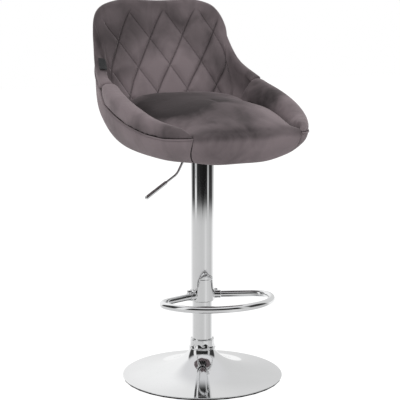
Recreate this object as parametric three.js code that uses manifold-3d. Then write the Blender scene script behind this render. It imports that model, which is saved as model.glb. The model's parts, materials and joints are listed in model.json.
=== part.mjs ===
// Adjustable swivel bar stool with a gas lift: trumpet base, telescoping column,
// footrest loop, height lever and a quilted bucket seat.
// Millimetres, +Z up, origin on the floor at the column's axis, the sitter faces -Y.
import * as THREE from 'three';
import Module from 'manifold-3d';
import { LoftGeometry } from 'three/addons/geometries/LoftGeometry.js';
import { mergeVertices } from 'three/addons/utils/BufferGeometryUtils.js';

const wasm = await Module();
wasm.setup();

// Clearances and tool allowances
const fit = 0.3;
const overrun = 1;
const weld = 0.0001;

// Base
const baseRadius = 192.5;
const baseSheet = 2;
const rimEdge = 2.4;
const floorRingHeight = 3;
const floorRingWidth = 12;
const neckRadius = 31;
const neckHeight = 69;
const flareSteepness = 24;
const flareReach = 92;
const flareLowHeight = 13;
const weightInnerRadius = 62;
const weightHeight = 15;
const crossPlateSheet = 4;
const crossPlateHeight = 30;
const crossPlateHole = 7;
const centreBoltRadius = 5;
const centreBoltHeadRadius = 9.5;
const centreBoltHeadHeight = 6.5;
const centreBoltLength = 16;
const washerSheet = 1.6;
const washerRadius = 13;

// Column
const standTubeRadius = 24.5;
const standTubeWall = 2;
const standTubeTop = 452;
const tubePlugHeight = 20;
const collarRadius = 32.5;
const collarBodyRadius = 29.4;
const collarHeight = 24;
const collarFoot = 4;
const rodSeatHeight = 66;
const rodSeatSheet = 5;
const coverTubeRadius = 27;
const coverTubeWall = 1.2;
const coverTubeBottom = 187;
const guideLip = 2.5;
const guideLength = 14;
const bushLength = 18;
const bushFlange = 3;

// Gas spring
const rodRadius = 5;
const rodTop = 336;
const rodFoot = 8;
const clipRadius = 9;
const clipSheet = 1.6;
const raceRadius = 13;
const raceSheet = 2;
const cageSheet = 3;
const bumperHeight = 9;
const bumperRadius = 11;
const cylinderRadius = 14;
const cylinderWall = 2;
const cylinderCap = 6;
const cylinderChamberTop = 440;
const pistonHeight = 14;
const pistonTop = 332;
const taperLength = 38;
const taperNarrowing = 0.9;
const valveRadius = 3;
const valveLength = 32;
const valveRise = 7;

// Seat plate and lever
const seatFloor = 545;
const plateHalfWidth = 66;
const plateCorner = 12;
const plateSheet = 2.5;
const panHalfWidth = 42;
const panCorner = 10;
const panDepth = 20;
const socketRadius = 19;
const boltSpacing = 104;
const boltRadius = 3;
const boltHeadRadius = 5.5;
const boltHeadHeight = 4;
const boltWasherRadius = 7;
const boltWasherSheet = 1.4;
const boltLength = 12.5;
const teeFlangeRadius = 9;
const teeFlangeSheet = 1.5;
const teeBarrelRadius = 4.6;
const pivotReach = 30;
const pivotHeight = 12;
const pivotRadius = 2;
const pivotEyeRadius = 5;
const pivotEyeWidth = 10;
const earSheet = 2;
const earHalfLength = 6;
const leverRadius = 3;
const leverInner = 4;
const leverElbow = 15;
const leverDropReach = 24;
const leverBendReach = 67.5;
const leverBendDrop = 41;
const leverGripReach = 95.4;
const leverGripDrop = 58.5;
const leverTipReach = 150.6;
const leverTipDrop = 93.3;
const leverGripRadius = 5;
const leverGripShare = 0.75;
const leverBend = 7;
const leverSteps = 18;

// Footrest
const footTubeRadius = 8;
const footHeight = 202;
const footHalfWidth = 139;
const footReach = 212;
const footArmAngle = 24.5;
const footCorner = 34;
const footTurn = -6;
const saddleRadius = 29.6;
const saddleBottom = 188;
const saddleShoulder = 213;
const saddleNeckRise = 28;
const saddleArchRise = 14;
const saddleNeckHalfWidth = 17;
const saddleLip = 1.8;
const armForward = 13;
const armSocketRadius = 10.2;
const armSocketReach = 41;
const footSteps = 40;
const clampScrewRadius = 2.2;
const clampScrewHead = 4;
const clampScrewHeadHeight = 3;
const clampScrewLength = 12;
const clampFlange = 10;
const clampEarSheet = 3.5;
const saddleWaist = saddleShoulder + saddleNeckRise;
const saddleTop = saddleWaist + saddleArchRise;

// Bucket seat
const seatHalfWidth = 230;
const seatReach = 240;
const seatHeight = 352;
const seatShift = -4;
const floorRadius = 95;
const coverSheet = 2.3;
const layerGap = 0.9;
const edgeGap = 5;
const crownSquareness = 0.62;
const hookSheet = 1.5;
const padClearance = 5;
const padSeamGap = 7;
const shellSheet = 7;
const shellTopDrop = 14.5;
const rollHeight = 18;
const backThickness = 26;
const backRollHeight = 13;
const wingThickness = 44;
const wingDepth = 56;
const wingSlope = 20;
const frontSwell = 24;
const frontBlend = 40;
const wingColumns = 12;
const frontColumns = 5;
const lumbarSwell = 14;
const backPadDepth = 262;
const seamGap = 0.6;
const squareRimDepth = 30;
const wallDepth = 90;
const pipingRadius = 2.1;
const pipingInset = 0.2;
const frontSeamShare = 0.838;
const dustSheet = 2.2;
const quiltPitch = 88;
const quiltColumns = 17;
const quiltRise = 132;
const quiltDepth = 5;
const cushionCrown = 28;
const cushionCentreShare = 0.352;
const cushionEdgeRadius = 16;
const tabLength = 33;
const tabSheet = 1.2;
const tabLift = 4.9;
const tabStartAngle = 62;
const tabEndAngle = 124;
const tabStationShare = 0.357;

// Facet counts
const roundSides = 32;
const smallSides = 12;
const screwSides = 8;
const barSides = 12;
const quiltSteps = 4;
const waySteps = 20;

// Builds one merged, closed and outward-facing body out of a class's geometry
function closed(geometry) {
  const bare = new THREE.BufferGeometry().copy(geometry);
  for (const name of Object.keys(bare.attributes)) {
    if (name !== 'position') bare.deleteAttribute(name);
  }
  const body = mergeVertices(bare, weld);
  const index = body.index.array;
  const kept = [];
  for (let i = 0; i < index.length; i += 3) {
    const [a, b, c] = [index[i], index[i + 1], index[i + 2]];
    if (a !== b && b !== c && c !== a) kept.push(a, b, c);
  }
  body.setIndex(kept);
  if (signedVolume(body) < 0) body.setIndex(kept.reverse());
  return body;
}

function signedVolume(body) {
  const position = body.getAttribute('position');
  const index = body.index.array;
  const corners = [new THREE.Vector3(), new THREE.Vector3(), new THREE.Vector3()];
  let sixfold = 0;
  for (let i = 0; i < index.length; i += 3) {
    corners.forEach((corner, k) => corner.fromBufferAttribute(position, index[i + k]));
    sixfold += corners[0].dot(corners[1].cross(corners[2]));
  }
  return sixfold;
}

function solid(geometry) {
  const body = closed(geometry);
  return new wasm.Manifold(new wasm.Mesh({
    numProp: 3,
    vertProperties: new Float32Array(body.getAttribute('position').array),
    triVerts: new Uint32Array(body.index.array),
  }));
}

function body(manifold) {
  const mesh = manifold.getMesh();
  const geometry = new THREE.BufferGeometry();
  geometry.setAttribute('position', new THREE.BufferAttribute(new Float32Array(mesh.vertProperties), 3));
  geometry.setIndex([...mesh.triVerts]);
  return geometry;
}

function cut(geometry, ...tools) {
  return body(tools.reduce((rest, tool) => rest.subtract(solid(tool)), solid(geometry)));
}

function join(geometry, ...others) {
  return body(others.reduce((sum, other) => sum.add(solid(other)), solid(geometry)));
}

function common(geometry, other) {
  return body(solid(geometry).intersect(solid(other)));
}

// Turned part: a closed profile of [radius, height] pairs round the column's axis
function turned(profile, sides = roundSides) {
  const points = [...profile, profile[0]].map(([r, z]) => new THREE.Vector2(r, z));
  return new THREE.LatheGeometry(points, sides).rotateX(Math.PI / 2);
}

function sleeve(inner, outer, low, high, sides = roundSides) {
  return turned([[inner, low], [outer, low], [outer, high], [inner, high]], sides);
}

function disc(radius, low, high, sides = roundSides) {
  const points = [[0, low], [radius, low], [radius, high], [0, high]];
  return new THREE.LatheGeometry(points.map(([r, z]) => new THREE.Vector2(r, z)), sides).rotateX(Math.PI / 2);
}

function roundedSquare(half, corner) {
  const shape = new THREE.Shape();
  const straight = half - corner;
  shape.absarc(straight, straight, corner, 0, Math.PI / 2);
  shape.absarc(-straight, straight, corner, Math.PI / 2, Math.PI);
  shape.absarc(-straight, -straight, corner, Math.PI, Math.PI * 1.5);
  shape.absarc(straight, -straight, corner, Math.PI * 1.5, Math.PI * 2);
  return shape;
}

// Flat plate cut from a shape in plan, between two heights
function plate(shape, low, high, curveSegments = 3) {
  const settings = { depth: high - low, bevelEnabled: false, curveSegments };
  return new THREE.ExtrudeGeometry(shape, settings).translate(0, 0, low);
}

// A path of straight runs whose corners are rounded by a bend
function bentPath(points, bend) {
  const path = new THREE.CurvePath();
  let last = points[0];
  for (let i = 1; i < points.length; i += 1) {
    const corner = points[i];
    const next = points[i + 1];
    if (!next) {
      path.add(new THREE.LineCurve3(last, corner));
      continue;
    }
    const before = corner.clone().lerp(last, bend / corner.distanceTo(last));
    const after = corner.clone().lerp(next, bend / corner.distanceTo(next));
    path.add(new THREE.LineCurve3(last, before));
    path.add(new THREE.QuadraticBezierCurve3(before, corner, after));
    last = after;
  }
  return path;
}

// Round bar swept along a path
function bar(path, radius, steps, sides = barSides) {
  const section = new THREE.Shape().absarc(0, 0, radius, 0, Math.PI * 2);
  const settings = { steps, extrudePath: path, curveSegments: sides / 2, bevelEnabled: false };
  return new THREE.ExtrudeGeometry(section, settings);
}

// Steel and plastic finishes seen on the object
const finishes = {
  chrome: [0xdfe1e4, 0.08, 1],
  steel: [0x9a9c9e, 0.35, 0.9],
  blackSteel: [0x1c1c1e, 0.5, 0.6],
  castIron: [0x3a3a3c, 0.75, 0.7],
  nylon: [0x17171a, 0.55, 0],
  rubber: [0x131313, 0.85, 0],
  moulding: [0x2b2826, 0.7, 0],
  velvet: [0x6f6469, 0.85, 0],
  darkCloth: [0x18181a, 0.95, 0],
};

const group = new THREE.Group();

function piece(name, geometry, finish) {
  const [color, roughness, metalness] = finishes[finish];
  const mesh = new THREE.Mesh(closed(geometry), new THREE.MeshStandardMaterial({ color, roughness, metalness }));
  mesh.name = name;
  group.add(mesh);
}

// Base: a spun trumpet whose flare is one curve from the neck to the rim
const flare = new THREE.CubicBezierCurve(
  new THREE.Vector2(neckRadius, neckHeight),
  new THREE.Vector2(neckRadius + rimEdge, neckHeight - flareSteepness),
  new THREE.Vector2(flareReach, flareLowHeight),
  new THREE.Vector2(baseRadius - rimEdge, floorRingHeight + rimEdge + fit),
);

function flareOffset(depth, from, to, steps) {
  const points = [];
  for (let i = 0; i <= steps; i += 1) {
    const t = from + (to - from) * i / steps;
    const point = flare.getPoint(t);
    const along = flare.getTangent(t);
    points.push([point.x + along.y * depth, point.y - along.x * depth]);
  }
  return points;
}

function makeBase() {
  const flareSteps = 10;
  const outside = flareOffset(0, 0, 1, flareSteps);
  const inside = flareOffset(baseSheet, 0, 1, flareSteps).reverse();
  const tubeHole = standTubeRadius + fit;
  const edge = floorRingHeight + fit;
  const shell = [
    [tubeHole, neckHeight], ...outside, [baseRadius, edge + rimEdge / 2], [baseRadius - rimEdge / 2, edge],
    ...inside, [tubeHole, neckHeight - baseSheet],
  ];
  piece('base_shell', turned(shell), 'chrome');

  const ringOuter = baseRadius - rimEdge / 2;
  const ringInner = ringOuter - floorRingWidth;
  const lip = rimEdge / 4;
  const ring = [
    [ringInner, 0], [ringOuter - lip, 0], [ringOuter, lip], [ringOuter, floorRingHeight], [ringInner, floorRingHeight],
  ];
  piece('floor_ring', turned(ring), 'rubber');

  const weightEnd = ringInner - fit;
  const under = inside.map(([r, z]) => [r - fit, z - fit])
    .filter(([r, z]) => r > weightInnerRadius && r < weightEnd && z < weightHeight + floorRingHeight);
  const weight = [
    [weightInnerRadius, floorRingHeight], [under[0][0], floorRingHeight],
    ...under, [weightInnerRadius, under[under.length - 1][1]],
  ];
  piece('base_weight', turned(weight), 'castIron');

  const [above, below] = inside.slice(0, -1)
    .map((point, i) => [inside[i + 1], point])
    .find(([high, low]) => high[1] >= crossPlateHeight && low[1] <= crossPlateHeight);
  const share = (crossPlateHeight - below[1]) / (above[1] - below[1]);
  const crossRadius = below[0] + (above[0] - below[0]) * share - fit;
  const crossTop = crossPlateHeight;
  const crossBottom = crossTop - crossPlateSheet;
  piece('cross_plate', turned([
    [crossPlateHole, crossBottom], [crossRadius, crossBottom], [crossRadius, crossTop], [crossPlateHole, crossTop],
  ]), 'steel');

  const plugBottom = crossTop + fit;
  const plugTop = plugBottom + tubePlugHeight;
  const tubeInner = standTubeRadius - standTubeWall;
  const boltHole = centreBoltRadius + fit;
  piece('stand_tube', sleeve(tubeInner, standTubeRadius, plugBottom, standTubeTop), 'chrome');
  piece('tube_plug', sleeve(boltHole, tubeInner - fit, plugBottom, plugTop, smallSides), 'steel');

  const flatBottom = crossBottom - fit - washerSheet;
  const springBottom = flatBottom - fit - washerSheet;
  const headTop = springBottom - fit;
  piece('flat_washer', sleeve(boltHole, washerRadius, flatBottom, flatBottom + washerSheet, smallSides), 'steel');
  const springRadius = (washerRadius + centreBoltHeadRadius) / 2;
  piece('spring_washer', sleeve(boltHole, springRadius, springBottom, springBottom + washerSheet, smallSides), 'steel');
  const headBottom = headTop - centreBoltHeadHeight;
  const head = disc(centreBoltHeadRadius, headBottom, headTop, 6);
  const shank = disc(centreBoltRadius, headBottom + overrun, plugBottom + centreBoltLength, smallSides);
  piece('centre_bolt', join(head, shank), 'steel');

  const collarBottom = neckHeight + fit;
  const collarTop = collarBottom + collarHeight;
  const round = collarFoot / 4;
  piece('base_collar', turned([
    [tubeHole, collarBottom], [collarRadius - round, collarBottom], [collarRadius, collarBottom + round],
    [collarRadius, collarBottom + collarFoot - round], [collarRadius - round, collarBottom + collarFoot],
    [collarBodyRadius, collarBottom + collarFoot], [collarBodyRadius - round, collarTop - round],
    [collarBodyRadius - 2 * round, collarTop], [tubeHole, collarTop],
  ]), 'chrome');

  const seatTop = rodSeatHeight + rodSeatSheet;
  piece('rod_seat', sleeve(rodRadius + fit, tubeInner - fit, rodSeatHeight, seatTop, smallSides), 'steel');
  piece('lower_race', sleeve(rodRadius + fit, raceRadius, seatTop + fit, seatTop + fit + raceSheet, smallSides), 'steel');

  const bushBore = cylinderRadius + fit;
  const bushOuter = tubeInner - fit;
  const flangeBottom = standTubeTop + fit;
  piece('guide_bush', turned([
    [bushBore, flangeBottom - bushLength], [bushOuter, flangeBottom - bushLength], [bushOuter, flangeBottom],
    [standTubeRadius, flangeBottom], [standTubeRadius, flangeBottom + bushFlange - round],
    [standTubeRadius - round, flangeBottom + bushFlange], [bushBore, flangeBottom + bushFlange],
  ]), 'nylon');
}

// Gas spring: the rod stands on a thrust bearing and turns with the seat
const lowerRaceTop = rodSeatHeight + rodSeatSheet + fit + raceSheet;
const cageBottom = lowerRaceTop + fit;
const upperRaceBottom = cageBottom + cageSheet + fit;
const bumperBottom = upperRaceBottom + raceSheet + fit;
const cylinderBottom = bumperBottom + bumperHeight + fit;
const plateTop = seatFloor - fit;
const panBottom = plateTop - panDepth;
const cylinderTop = panBottom + plateSheet + fit;
const valveTop = cylinderTop + valveRise;
const leverHeight = valveTop + fit + leverRadius;

function makeGasSpring() {
  const rodHole = rodRadius + fit;
  piece('piston_rod', disc(rodRadius, rodSeatHeight - rodFoot, rodTop, smallSides), 'steel');
  const clipTop = rodSeatHeight - fit;
  piece('rod_clip', sleeve(rodHole, clipRadius, clipTop - clipSheet, clipTop, smallSides), 'blackSteel');
  piece('bearing_cage', sleeve(rodHole, raceRadius, cageBottom, cageBottom + cageSheet, smallSides), 'nylon');
  const raceTop = upperRaceBottom + raceSheet;
  piece('upper_race', sleeve(rodHole, raceRadius, upperRaceBottom, raceTop, smallSides), 'steel');
  const waist = bumperRadius - bumperHeight / 6;
  piece('bumper', turned([
    [rodHole, bumperBottom], [bumperRadius, bumperBottom], [waist, bumperBottom + bumperHeight / 2],
    [bumperRadius, bumperBottom + bumperHeight], [rodHole, bumperBottom + bumperHeight],
  ], smallSides), 'rubber');
  const bore = cylinderRadius - cylinderWall;
  piece('piston', sleeve(rodHole, bore - fit, pistonTop - pistonHeight, pistonTop, smallSides), 'nylon');

  const pinBore = valveRadius + fit;
  const taperStart = cylinderTop - taperLength;
  piece('gas_cylinder', turned([
    [rodHole, cylinderBottom], [cylinderRadius, cylinderBottom], [cylinderRadius, taperStart],
    [cylinderRadius - taperNarrowing, cylinderTop], [pinBore, cylinderTop], [pinBore, cylinderChamberTop],
    [bore, cylinderChamberTop], [bore, cylinderBottom + cylinderCap], [rodHole, cylinderBottom + cylinderCap],
  ], smallSides), 'blackSteel');
  piece('valve_pin', disc(valveRadius, valveTop - valveLength, valveTop, screwSides), 'steel');
}

// Cover tube with its lower guide ring and its upper spacer
function makeCoverTube() {
  const inner = coverTubeRadius - coverTubeWall;
  const top = panBottom - fit;
  const bottom = coverTubeBottom + guideLip;
  piece('cover_tube', sleeve(inner, coverTubeRadius, bottom, top), 'chrome');
  const running = standTubeRadius + fit;
  piece('guide_ring', turned([
    [running, coverTubeBottom], [coverTubeRadius, coverTubeBottom], [coverTubeRadius, bottom - fit],
    [inner - fit, bottom - fit], [inner - fit, bottom + guideLength], [running, bottom + guideLength],
  ]), 'nylon');
  const spacerTop = top - guideLip;
  piece('tube_spacer', sleeve(socketRadius + fit, inner - fit, spacerTop - guideLength, spacerTop, smallSides), 'nylon');
  const taperStart = cylinderTop - taperLength;
  const bore = cylinderRadius + fit;
  piece('taper_socket', turned([
    [bore, taperStart - guideLip], [socketRadius, taperStart - guideLip], [socketRadius, top],
    [bore - taperNarrowing, top], [bore, taperStart],
  ], smallSides), 'steel');
}

// Footrest: a bent loop held by a cast saddle in front and a clamp half behind
function turnedWithFootrest(geometry) {
  return geometry.rotateZ(THREE.MathUtils.degToRad(footTurn));
}

function makeFootrest() {
  const slope = Math.tan(THREE.MathUtils.degToRad(footArmAngle));
  const armY = (x) => -armForward - (x - saddleRadius) * slope;
  const arcCentre = footReach - footHalfWidth;
  const start = new THREE.Vector3(-armSocketReach, armY(armSocketReach), footHeight);
  const corner = new THREE.Vector3(-footHalfWidth, armY(footHalfWidth), footHeight);
  const bendStart = corner.clone().lerp(start, footCorner / corner.distanceTo(start));
  const arcSteps = 24;
  const arcPoints = [];
  for (let i = 1; i < arcSteps; i += 1) {
    const angle = Math.PI * i / arcSteps;
    const x = -footHalfWidth * Math.cos(angle);
    arcPoints.push(new THREE.Vector3(x, -arcCentre - footHalfWidth * Math.sin(angle), footHeight));
  }
  const mirror = (p) => new THREE.Vector3(-p.x, p.y, p.z);
  const path = new THREE.CurvePath();
  path.add(new THREE.LineCurve3(start, bendStart));
  path.add(new THREE.QuadraticBezierCurve3(bendStart, corner, arcPoints[0]));
  path.add(new THREE.CatmullRomCurve3(arcPoints));
  path.add(new THREE.QuadraticBezierCurve3(mirror(arcPoints[0]), mirror(corner), mirror(bendStart)));
  path.add(new THREE.LineCurve3(mirror(bendStart), mirror(start)));
  piece('footrest_loop', turnedWithFootrest(bar(path, footTubeRadius, footSteps)), 'chrome');

  const boreRadius = coverTubeRadius + fit;
  const reach = saddleRadius + saddleLip + clampFlange;
  const inFront = new THREE.BoxGeometry(2 * reach, reach, 2 * saddleTop).translate(0, -reach / 2 - fit / 2, 0);
  const behind = new THREE.BoxGeometry(2 * reach, reach, 2 * saddleTop).translate(0, reach / 2 + fit / 2, 0);
  const tubeHole = disc(boreRadius, saddleBottom - overrun, saddleTop + overrun);
  const outer = turned([
    [boreRadius - overrun, saddleBottom], [saddleRadius + saddleLip / 2, saddleBottom],
    [saddleRadius, saddleShoulder], [saddleRadius, saddleWaist], [saddleRadius + saddleLip, saddleWaist + saddleLip],
    [saddleRadius + saddleLip, saddleTop], [boreRadius - overrun, saddleTop],
  ]);
  const outline = new THREE.Shape();
  const half = reach + overrun;
  const neck = saddleNeckHalfWidth;
  outline.moveTo(-half, saddleBottom - overrun);
  outline.lineTo(half, saddleBottom - overrun);
  outline.lineTo(half, saddleShoulder);
  outline.lineTo(saddleRadius - saddleLip, saddleShoulder);
  outline.quadraticCurveTo(neck + saddleLip, saddleShoulder + neck / 2, neck, saddleWaist);
  outline.quadraticCurveTo(neck, saddleTop - saddleLip, 0, saddleTop);
  outline.quadraticCurveTo(-neck, saddleTop - saddleLip, -neck, saddleWaist);
  outline.quadraticCurveTo(-neck - saddleLip, saddleShoulder + neck / 2, -saddleRadius + saddleLip, saddleShoulder);
  outline.lineTo(-half, saddleShoulder);
  const bell = new THREE.ExtrudeGeometry(outline, { depth: reach, bevelEnabled: false, curveSegments: 8 })
    .rotateX(Math.PI / 2);
  const boss = (side) => {
    const inner = saddleRadius - clampFlange;
    const outerEnd = armSocketReach - fit;
    const from = new THREE.Vector3(side * inner, armY(inner), footHeight);
    const to = new THREE.Vector3(side * outerEnd, armY(outerEnd), footHeight);
    return bar(new THREE.LineCurve3(from, to), armSocketRadius, 1);
  };
  const earHigh = saddleShoulder - saddleBottom;
  const ear = (side) => new THREE.BoxGeometry(clampFlange, clampEarSheet, earHigh)
    .translate(side * (saddleRadius + clampFlange / 2 - saddleLip / 2), 0, saddleBottom + earHigh / 2);
  const frontEar = (side) => ear(side).translate(0, -clampEarSheet / 2 - fit / 2, 0);
  const rearEar = (side) => ear(side).translate(0, clampEarSheet / 2 + fit / 2, 0);
  const screwX = saddleRadius + clampFlange / 2;
  const across = (geometry) => geometry.rotateX(Math.PI / 2);
  const hole = (side) => across(disc(clampScrewRadius + fit, -clampEarSheet * 2, clampScrewLength + overrun, screwSides))
    .translate(side * screwX, 0, footHeight);
  const saddle = common(join(common(outer, bell), boss(-1), boss(1), frontEar(-1), frontEar(1)), inFront);
  piece('footrest_saddle', turnedWithFootrest(cut(saddle, tubeHole, hole(-1), hole(1))), 'chrome');

  const rearBand = turned([
    [boreRadius - overrun, saddleBottom], [saddleRadius + saddleLip / 2, saddleBottom],
    [saddleRadius, saddleShoulder], [boreRadius - overrun, saddleShoulder],
  ]);
  const clampHalf = join(common(rearBand, behind), rearEar(-1), rearEar(1));
  piece('footrest_clamp', turnedWithFootrest(cut(clampHalf, tubeHole, hole(-1), hole(1))), 'chrome');
  const headStart = -clampEarSheet - fit;
  for (const [name, side] of [['clamp_screw_left', -1], ['clamp_screw_right', 1]]) {
    const headEnd = headStart - fit / 2 - clampScrewHeadHeight;
    const head = disc(clampScrewHead, headEnd, headStart - fit / 2, screwSides);
    const shank = disc(clampScrewRadius, headEnd + fit, clampScrewLength, screwSides);
    const screw = across(join(head, shank)).translate(side * screwX, 0, footHeight);
    piece(name, turnedWithFootrest(screw), 'steel');
  }
}

// Seat plate: a pressed tray bolted under the bucket, with the lever's bracket inside it
function boltPlaces() {
  const half = boltSpacing / 2;
  return [['front_left', -half, -half], ['front_right', half, -half], ['rear_left', -half, half], ['rear_right', half, half]];
}

function boltHoles(radius, low, high) {
  return boltPlaces().map(([, x, y]) => disc(radius, low, high, screwSides).translate(x, y, 0));
}

const flangeBottom = plateTop - plateSheet;
const dustTop = seatFloor + dustSheet;
const shellFloor = seatFloor + coverSheet + layerGap;
const shellInside = shellFloor + shellSheet;

function makeSeatPlate() {
  const flange = plate(roundedSquare(plateHalfWidth, plateCorner), flangeBottom, plateTop);
  const pan = plate(roundedSquare(panHalfWidth, panCorner), panBottom, plateTop);
  const hollow = plate(roundedSquare(panHalfWidth - plateSheet, panCorner - plateSheet), panBottom + plateSheet, plateTop + overrun);
  const taperHole = disc(cylinderRadius + fit, panBottom - overrun, panBottom + plateSheet + overrun);
  const slotLength = leverDropReach + overrun;
  const slot = new THREE.BoxGeometry(slotLength, pivotEyeWidth + pivotRadius, 2 * panDepth)
    .translate(-panHalfWidth + plateSheet + overrun - slotLength / 2, 0, plateTop + fit);
  const holes = boltHoles(boltRadius + fit, panBottom - overrun, plateTop + overrun);
  piece('seat_plate', cut(join(flange, pan), hollow, taperHole, slot, ...holes), 'blackSteel');

  const washerTop = flangeBottom - fit;
  const washerBottom = washerTop - boltWasherSheet;
  const headTop = washerBottom - fit;
  const teeTop = shellInside;
  for (const [place, x, y] of boltPlaces()) {
    const head = disc(boltHeadRadius, headTop - boltHeadHeight, headTop, 6);
    const shank = disc(boltRadius, headTop - fit, headTop + boltLength, screwSides);
    piece(`seat_bolt_${place}`, join(head, shank).translate(x, y, 0), 'steel');
    const washer = sleeve(boltRadius + fit, boltWasherRadius, washerBottom, washerTop, screwSides);
    piece(`seat_washer_${place}`, washer.translate(x, y, 0), 'steel');
    const barrelBottom = shellFloor + fit;
    const nut = turned([
      [boltRadius + fit, barrelBottom], [teeBarrelRadius, barrelBottom], [teeBarrelRadius, teeTop - teeFlangeSheet],
      [teeFlangeRadius, teeTop - teeFlangeSheet], [teeFlangeRadius, teeTop], [boltRadius + fit, teeTop],
    ], screwSides);
    piece(`tee_nut_${place}`, nut.translate(x, y, 0), 'steel');
  }
}

function makeLever() {
  const trayFloor = panBottom + plateSheet;
  const earGap = pivotEyeWidth / 2 + 2 * fit;
  const crosswise = (geometry) => geometry.rotateX(Math.PI / 2);
  const footHalf = earGap + earSheet;
  const footPlate = new THREE.BoxGeometry(2 * earHalfLength, 2 * footHalf, earSheet)
    .translate(-pivotReach, 0, trayFloor + fit + earSheet / 2);
  const earTop = leverHeight + pivotEyeRadius - fit;
  const earHigh = earTop - trayFloor - fit;
  const ear = (side) => new THREE.BoxGeometry(2 * earHalfLength, earSheet, earHigh)
    .translate(-pivotReach, side * (earGap + earSheet / 2), trayFloor + fit + earHigh / 2);
  const pinHole = crosswise(disc(pivotRadius + fit, -footHalf - overrun, footHalf + overrun, screwSides))
    .translate(-pivotReach, 0, leverHeight);
  piece('lever_bracket', cut(join(footPlate, ear(-1), ear(1)), pinHole), 'steel');
  const pinHalf = footHalf + overrun;
  const pin = crosswise(disc(pivotRadius, -pinHalf, pinHalf, screwSides)).translate(-pivotReach, 0, leverHeight);
  piece('lever_pin', pin, 'steel');

  const gripStart = new THREE.Vector3(-leverGripReach, 0, leverHeight - leverGripDrop);
  const gripEnd = new THREE.Vector3(-leverTipReach, 0, leverHeight - leverTipDrop);
  const along = gripEnd.clone().sub(gripStart);
  const rodEnd = gripStart.clone().addScaledVector(along, leverGripShare);
  const rodPath = bentPath([
    new THREE.Vector3(leverInner, 0, leverHeight),
    new THREE.Vector3(-pivotReach - leverElbow, 0, leverHeight),
    new THREE.Vector3(-leverBendReach, 0, leverHeight - leverBendDrop),
    rodEnd,
  ], leverBend);
  const eye = crosswise(disc(pivotEyeRadius - fit, -pivotEyeWidth / 2, pivotEyeWidth / 2, screwSides))
    .translate(-pivotReach, 0, leverHeight);
  piece('lever_rod', cut(join(bar(rodPath, leverRadius, leverSteps, screwSides), eye), pinHole), 'chrome');

  const gripLength = along.length();
  const round = leverGripRadius / 3;
  const bore = leverRadius + fit;
  const boreEnd = gripLength * leverGripShare + fit;
  const profile = [
    [bore, 0], [leverGripRadius - round, 0], [leverGripRadius, round], [leverGripRadius, gripLength - 2 * round],
    [leverGripRadius - round, gripLength - round / 2], [round, gripLength], [0, gripLength], [0, boreEnd], [bore, boreEnd],
  ];
  const grip = turned(profile, screwSides);
  const turn = new THREE.Quaternion().setFromUnitVectors(new THREE.Vector3(0, 0, 1), along.normalize());
  grip.applyQuaternion(turn).translate(gripStart.x, gripStart.y, gripStart.z);
  piece('lever_grip', grip, 'chrome');
}

// Seat skin: half rings of points from the middle of the back round to the middle of the front,
// each as shares of half width, reach and height over the seat floor
const rimShares = [
  [0.000, 1.004, 0.994], [0.465, 1.008, 1.000], [0.717, 0.992, 0.946], [0.809, 0.900, 0.767],
  [0.865, 0.696, 0.582], [0.957, 0.396, 0.466], [1.000, 0.037, 0.389], [0.965, -0.296, 0.324],
  [0.839, -0.596, 0.273], [0.652, -0.833, 0.230], [0.348, -0.917, 0.202], [0.000, -0.933, 0.193],
];
const upperShares = [
  [0.000, 0.963, 0.787], [0.452, 0.963, 0.790], [0.713, 0.921, 0.750], [0.813, 0.821, 0.619],
  [0.887, 0.637, 0.457], [0.948, 0.379, 0.344], [0.978, 0.033, 0.270], [0.952, -0.296, 0.224],
  [0.852, -0.617, 0.188], [0.661, -0.838, 0.156], [0.357, -0.908, 0.131], [0.000, -0.925, 0.125],
];
const bellyShares = [
  [0.000, 0.887, 0.418], [0.430, 0.871, 0.418], [0.683, 0.812, 0.401], [0.813, 0.717, 0.341],
  [0.887, 0.562, 0.267], [0.917, 0.346, 0.196], [0.926, 0.033, 0.142], [0.900, -0.283, 0.116],
  [0.813, -0.583, 0.094], [0.630, -0.783, 0.077], [0.339, -0.854, 0.057], [0.000, -0.875, 0.048],
];
const turnShares = [
  [0.000, 0.713, 0.116], [0.357, 0.696, 0.119], [0.574, 0.633, 0.108], [0.683, 0.537, 0.091],
  [0.739, 0.400, 0.071], [0.761, 0.233, 0.051], [0.770, 0.017, 0.037], [0.743, -0.233, 0.023],
  [0.652, -0.471, 0.006], [0.491, -0.625, -0.003], [0.270, -0.704, -0.020], [0.000, -0.725, -0.020],
];

function ring(shares) {
  const half = shares.map(([x, y, z]) => new THREE.Vector3(
    x * seatHalfWidth,
    y * seatReach + seatShift,
    seatFloor + z * seatHeight,
  ));
  const other = half.slice(1, -1).reverse().map((p) => new THREE.Vector3(-p.x, p.y, p.z));
  return new THREE.CatmullRomCurve3([...half, ...other], true, 'catmullrom', 0.5);
}

const skinRings = [turnShares, bellyShares, upperShares, rimShares].map(ring);
const girthRing = skinRings[2];
girthRing.arcLengthDivisions = 880;
const girth = girthRing.getLength();
const halfGirth = girth / 2;
const walls = new Map();
const ways = new Map();

// A wall runs up the skin from the seat floor to the rim at one station round the seat
function wall(turn) {
  const key = turn.toFixed(6);
  if (!walls.has(key)) {
    const angle = 2 * Math.PI * turn;
    const foot = new THREE.Vector3(floorRadius * Math.sin(angle), floorRadius * Math.cos(angle) + seatShift, seatFloor);
    const curve = new THREE.CatmullRomCurve3([foot, ...skinRings.map((r) => r.getPoint(turn))]);
    curve.curveType = 'catmullrom';
    walls.set(key, { curve, length: curve.getLength() });
  }
  return walls.get(key);
}

function turnAt(station) {
  const wrapped = ((station % girth) + girth) % girth;
  return girthRing.getUtoTmapping(wrapped / girth);
}

function wallLength(station) {
  return wall(turnAt(station)).length;
}

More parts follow.
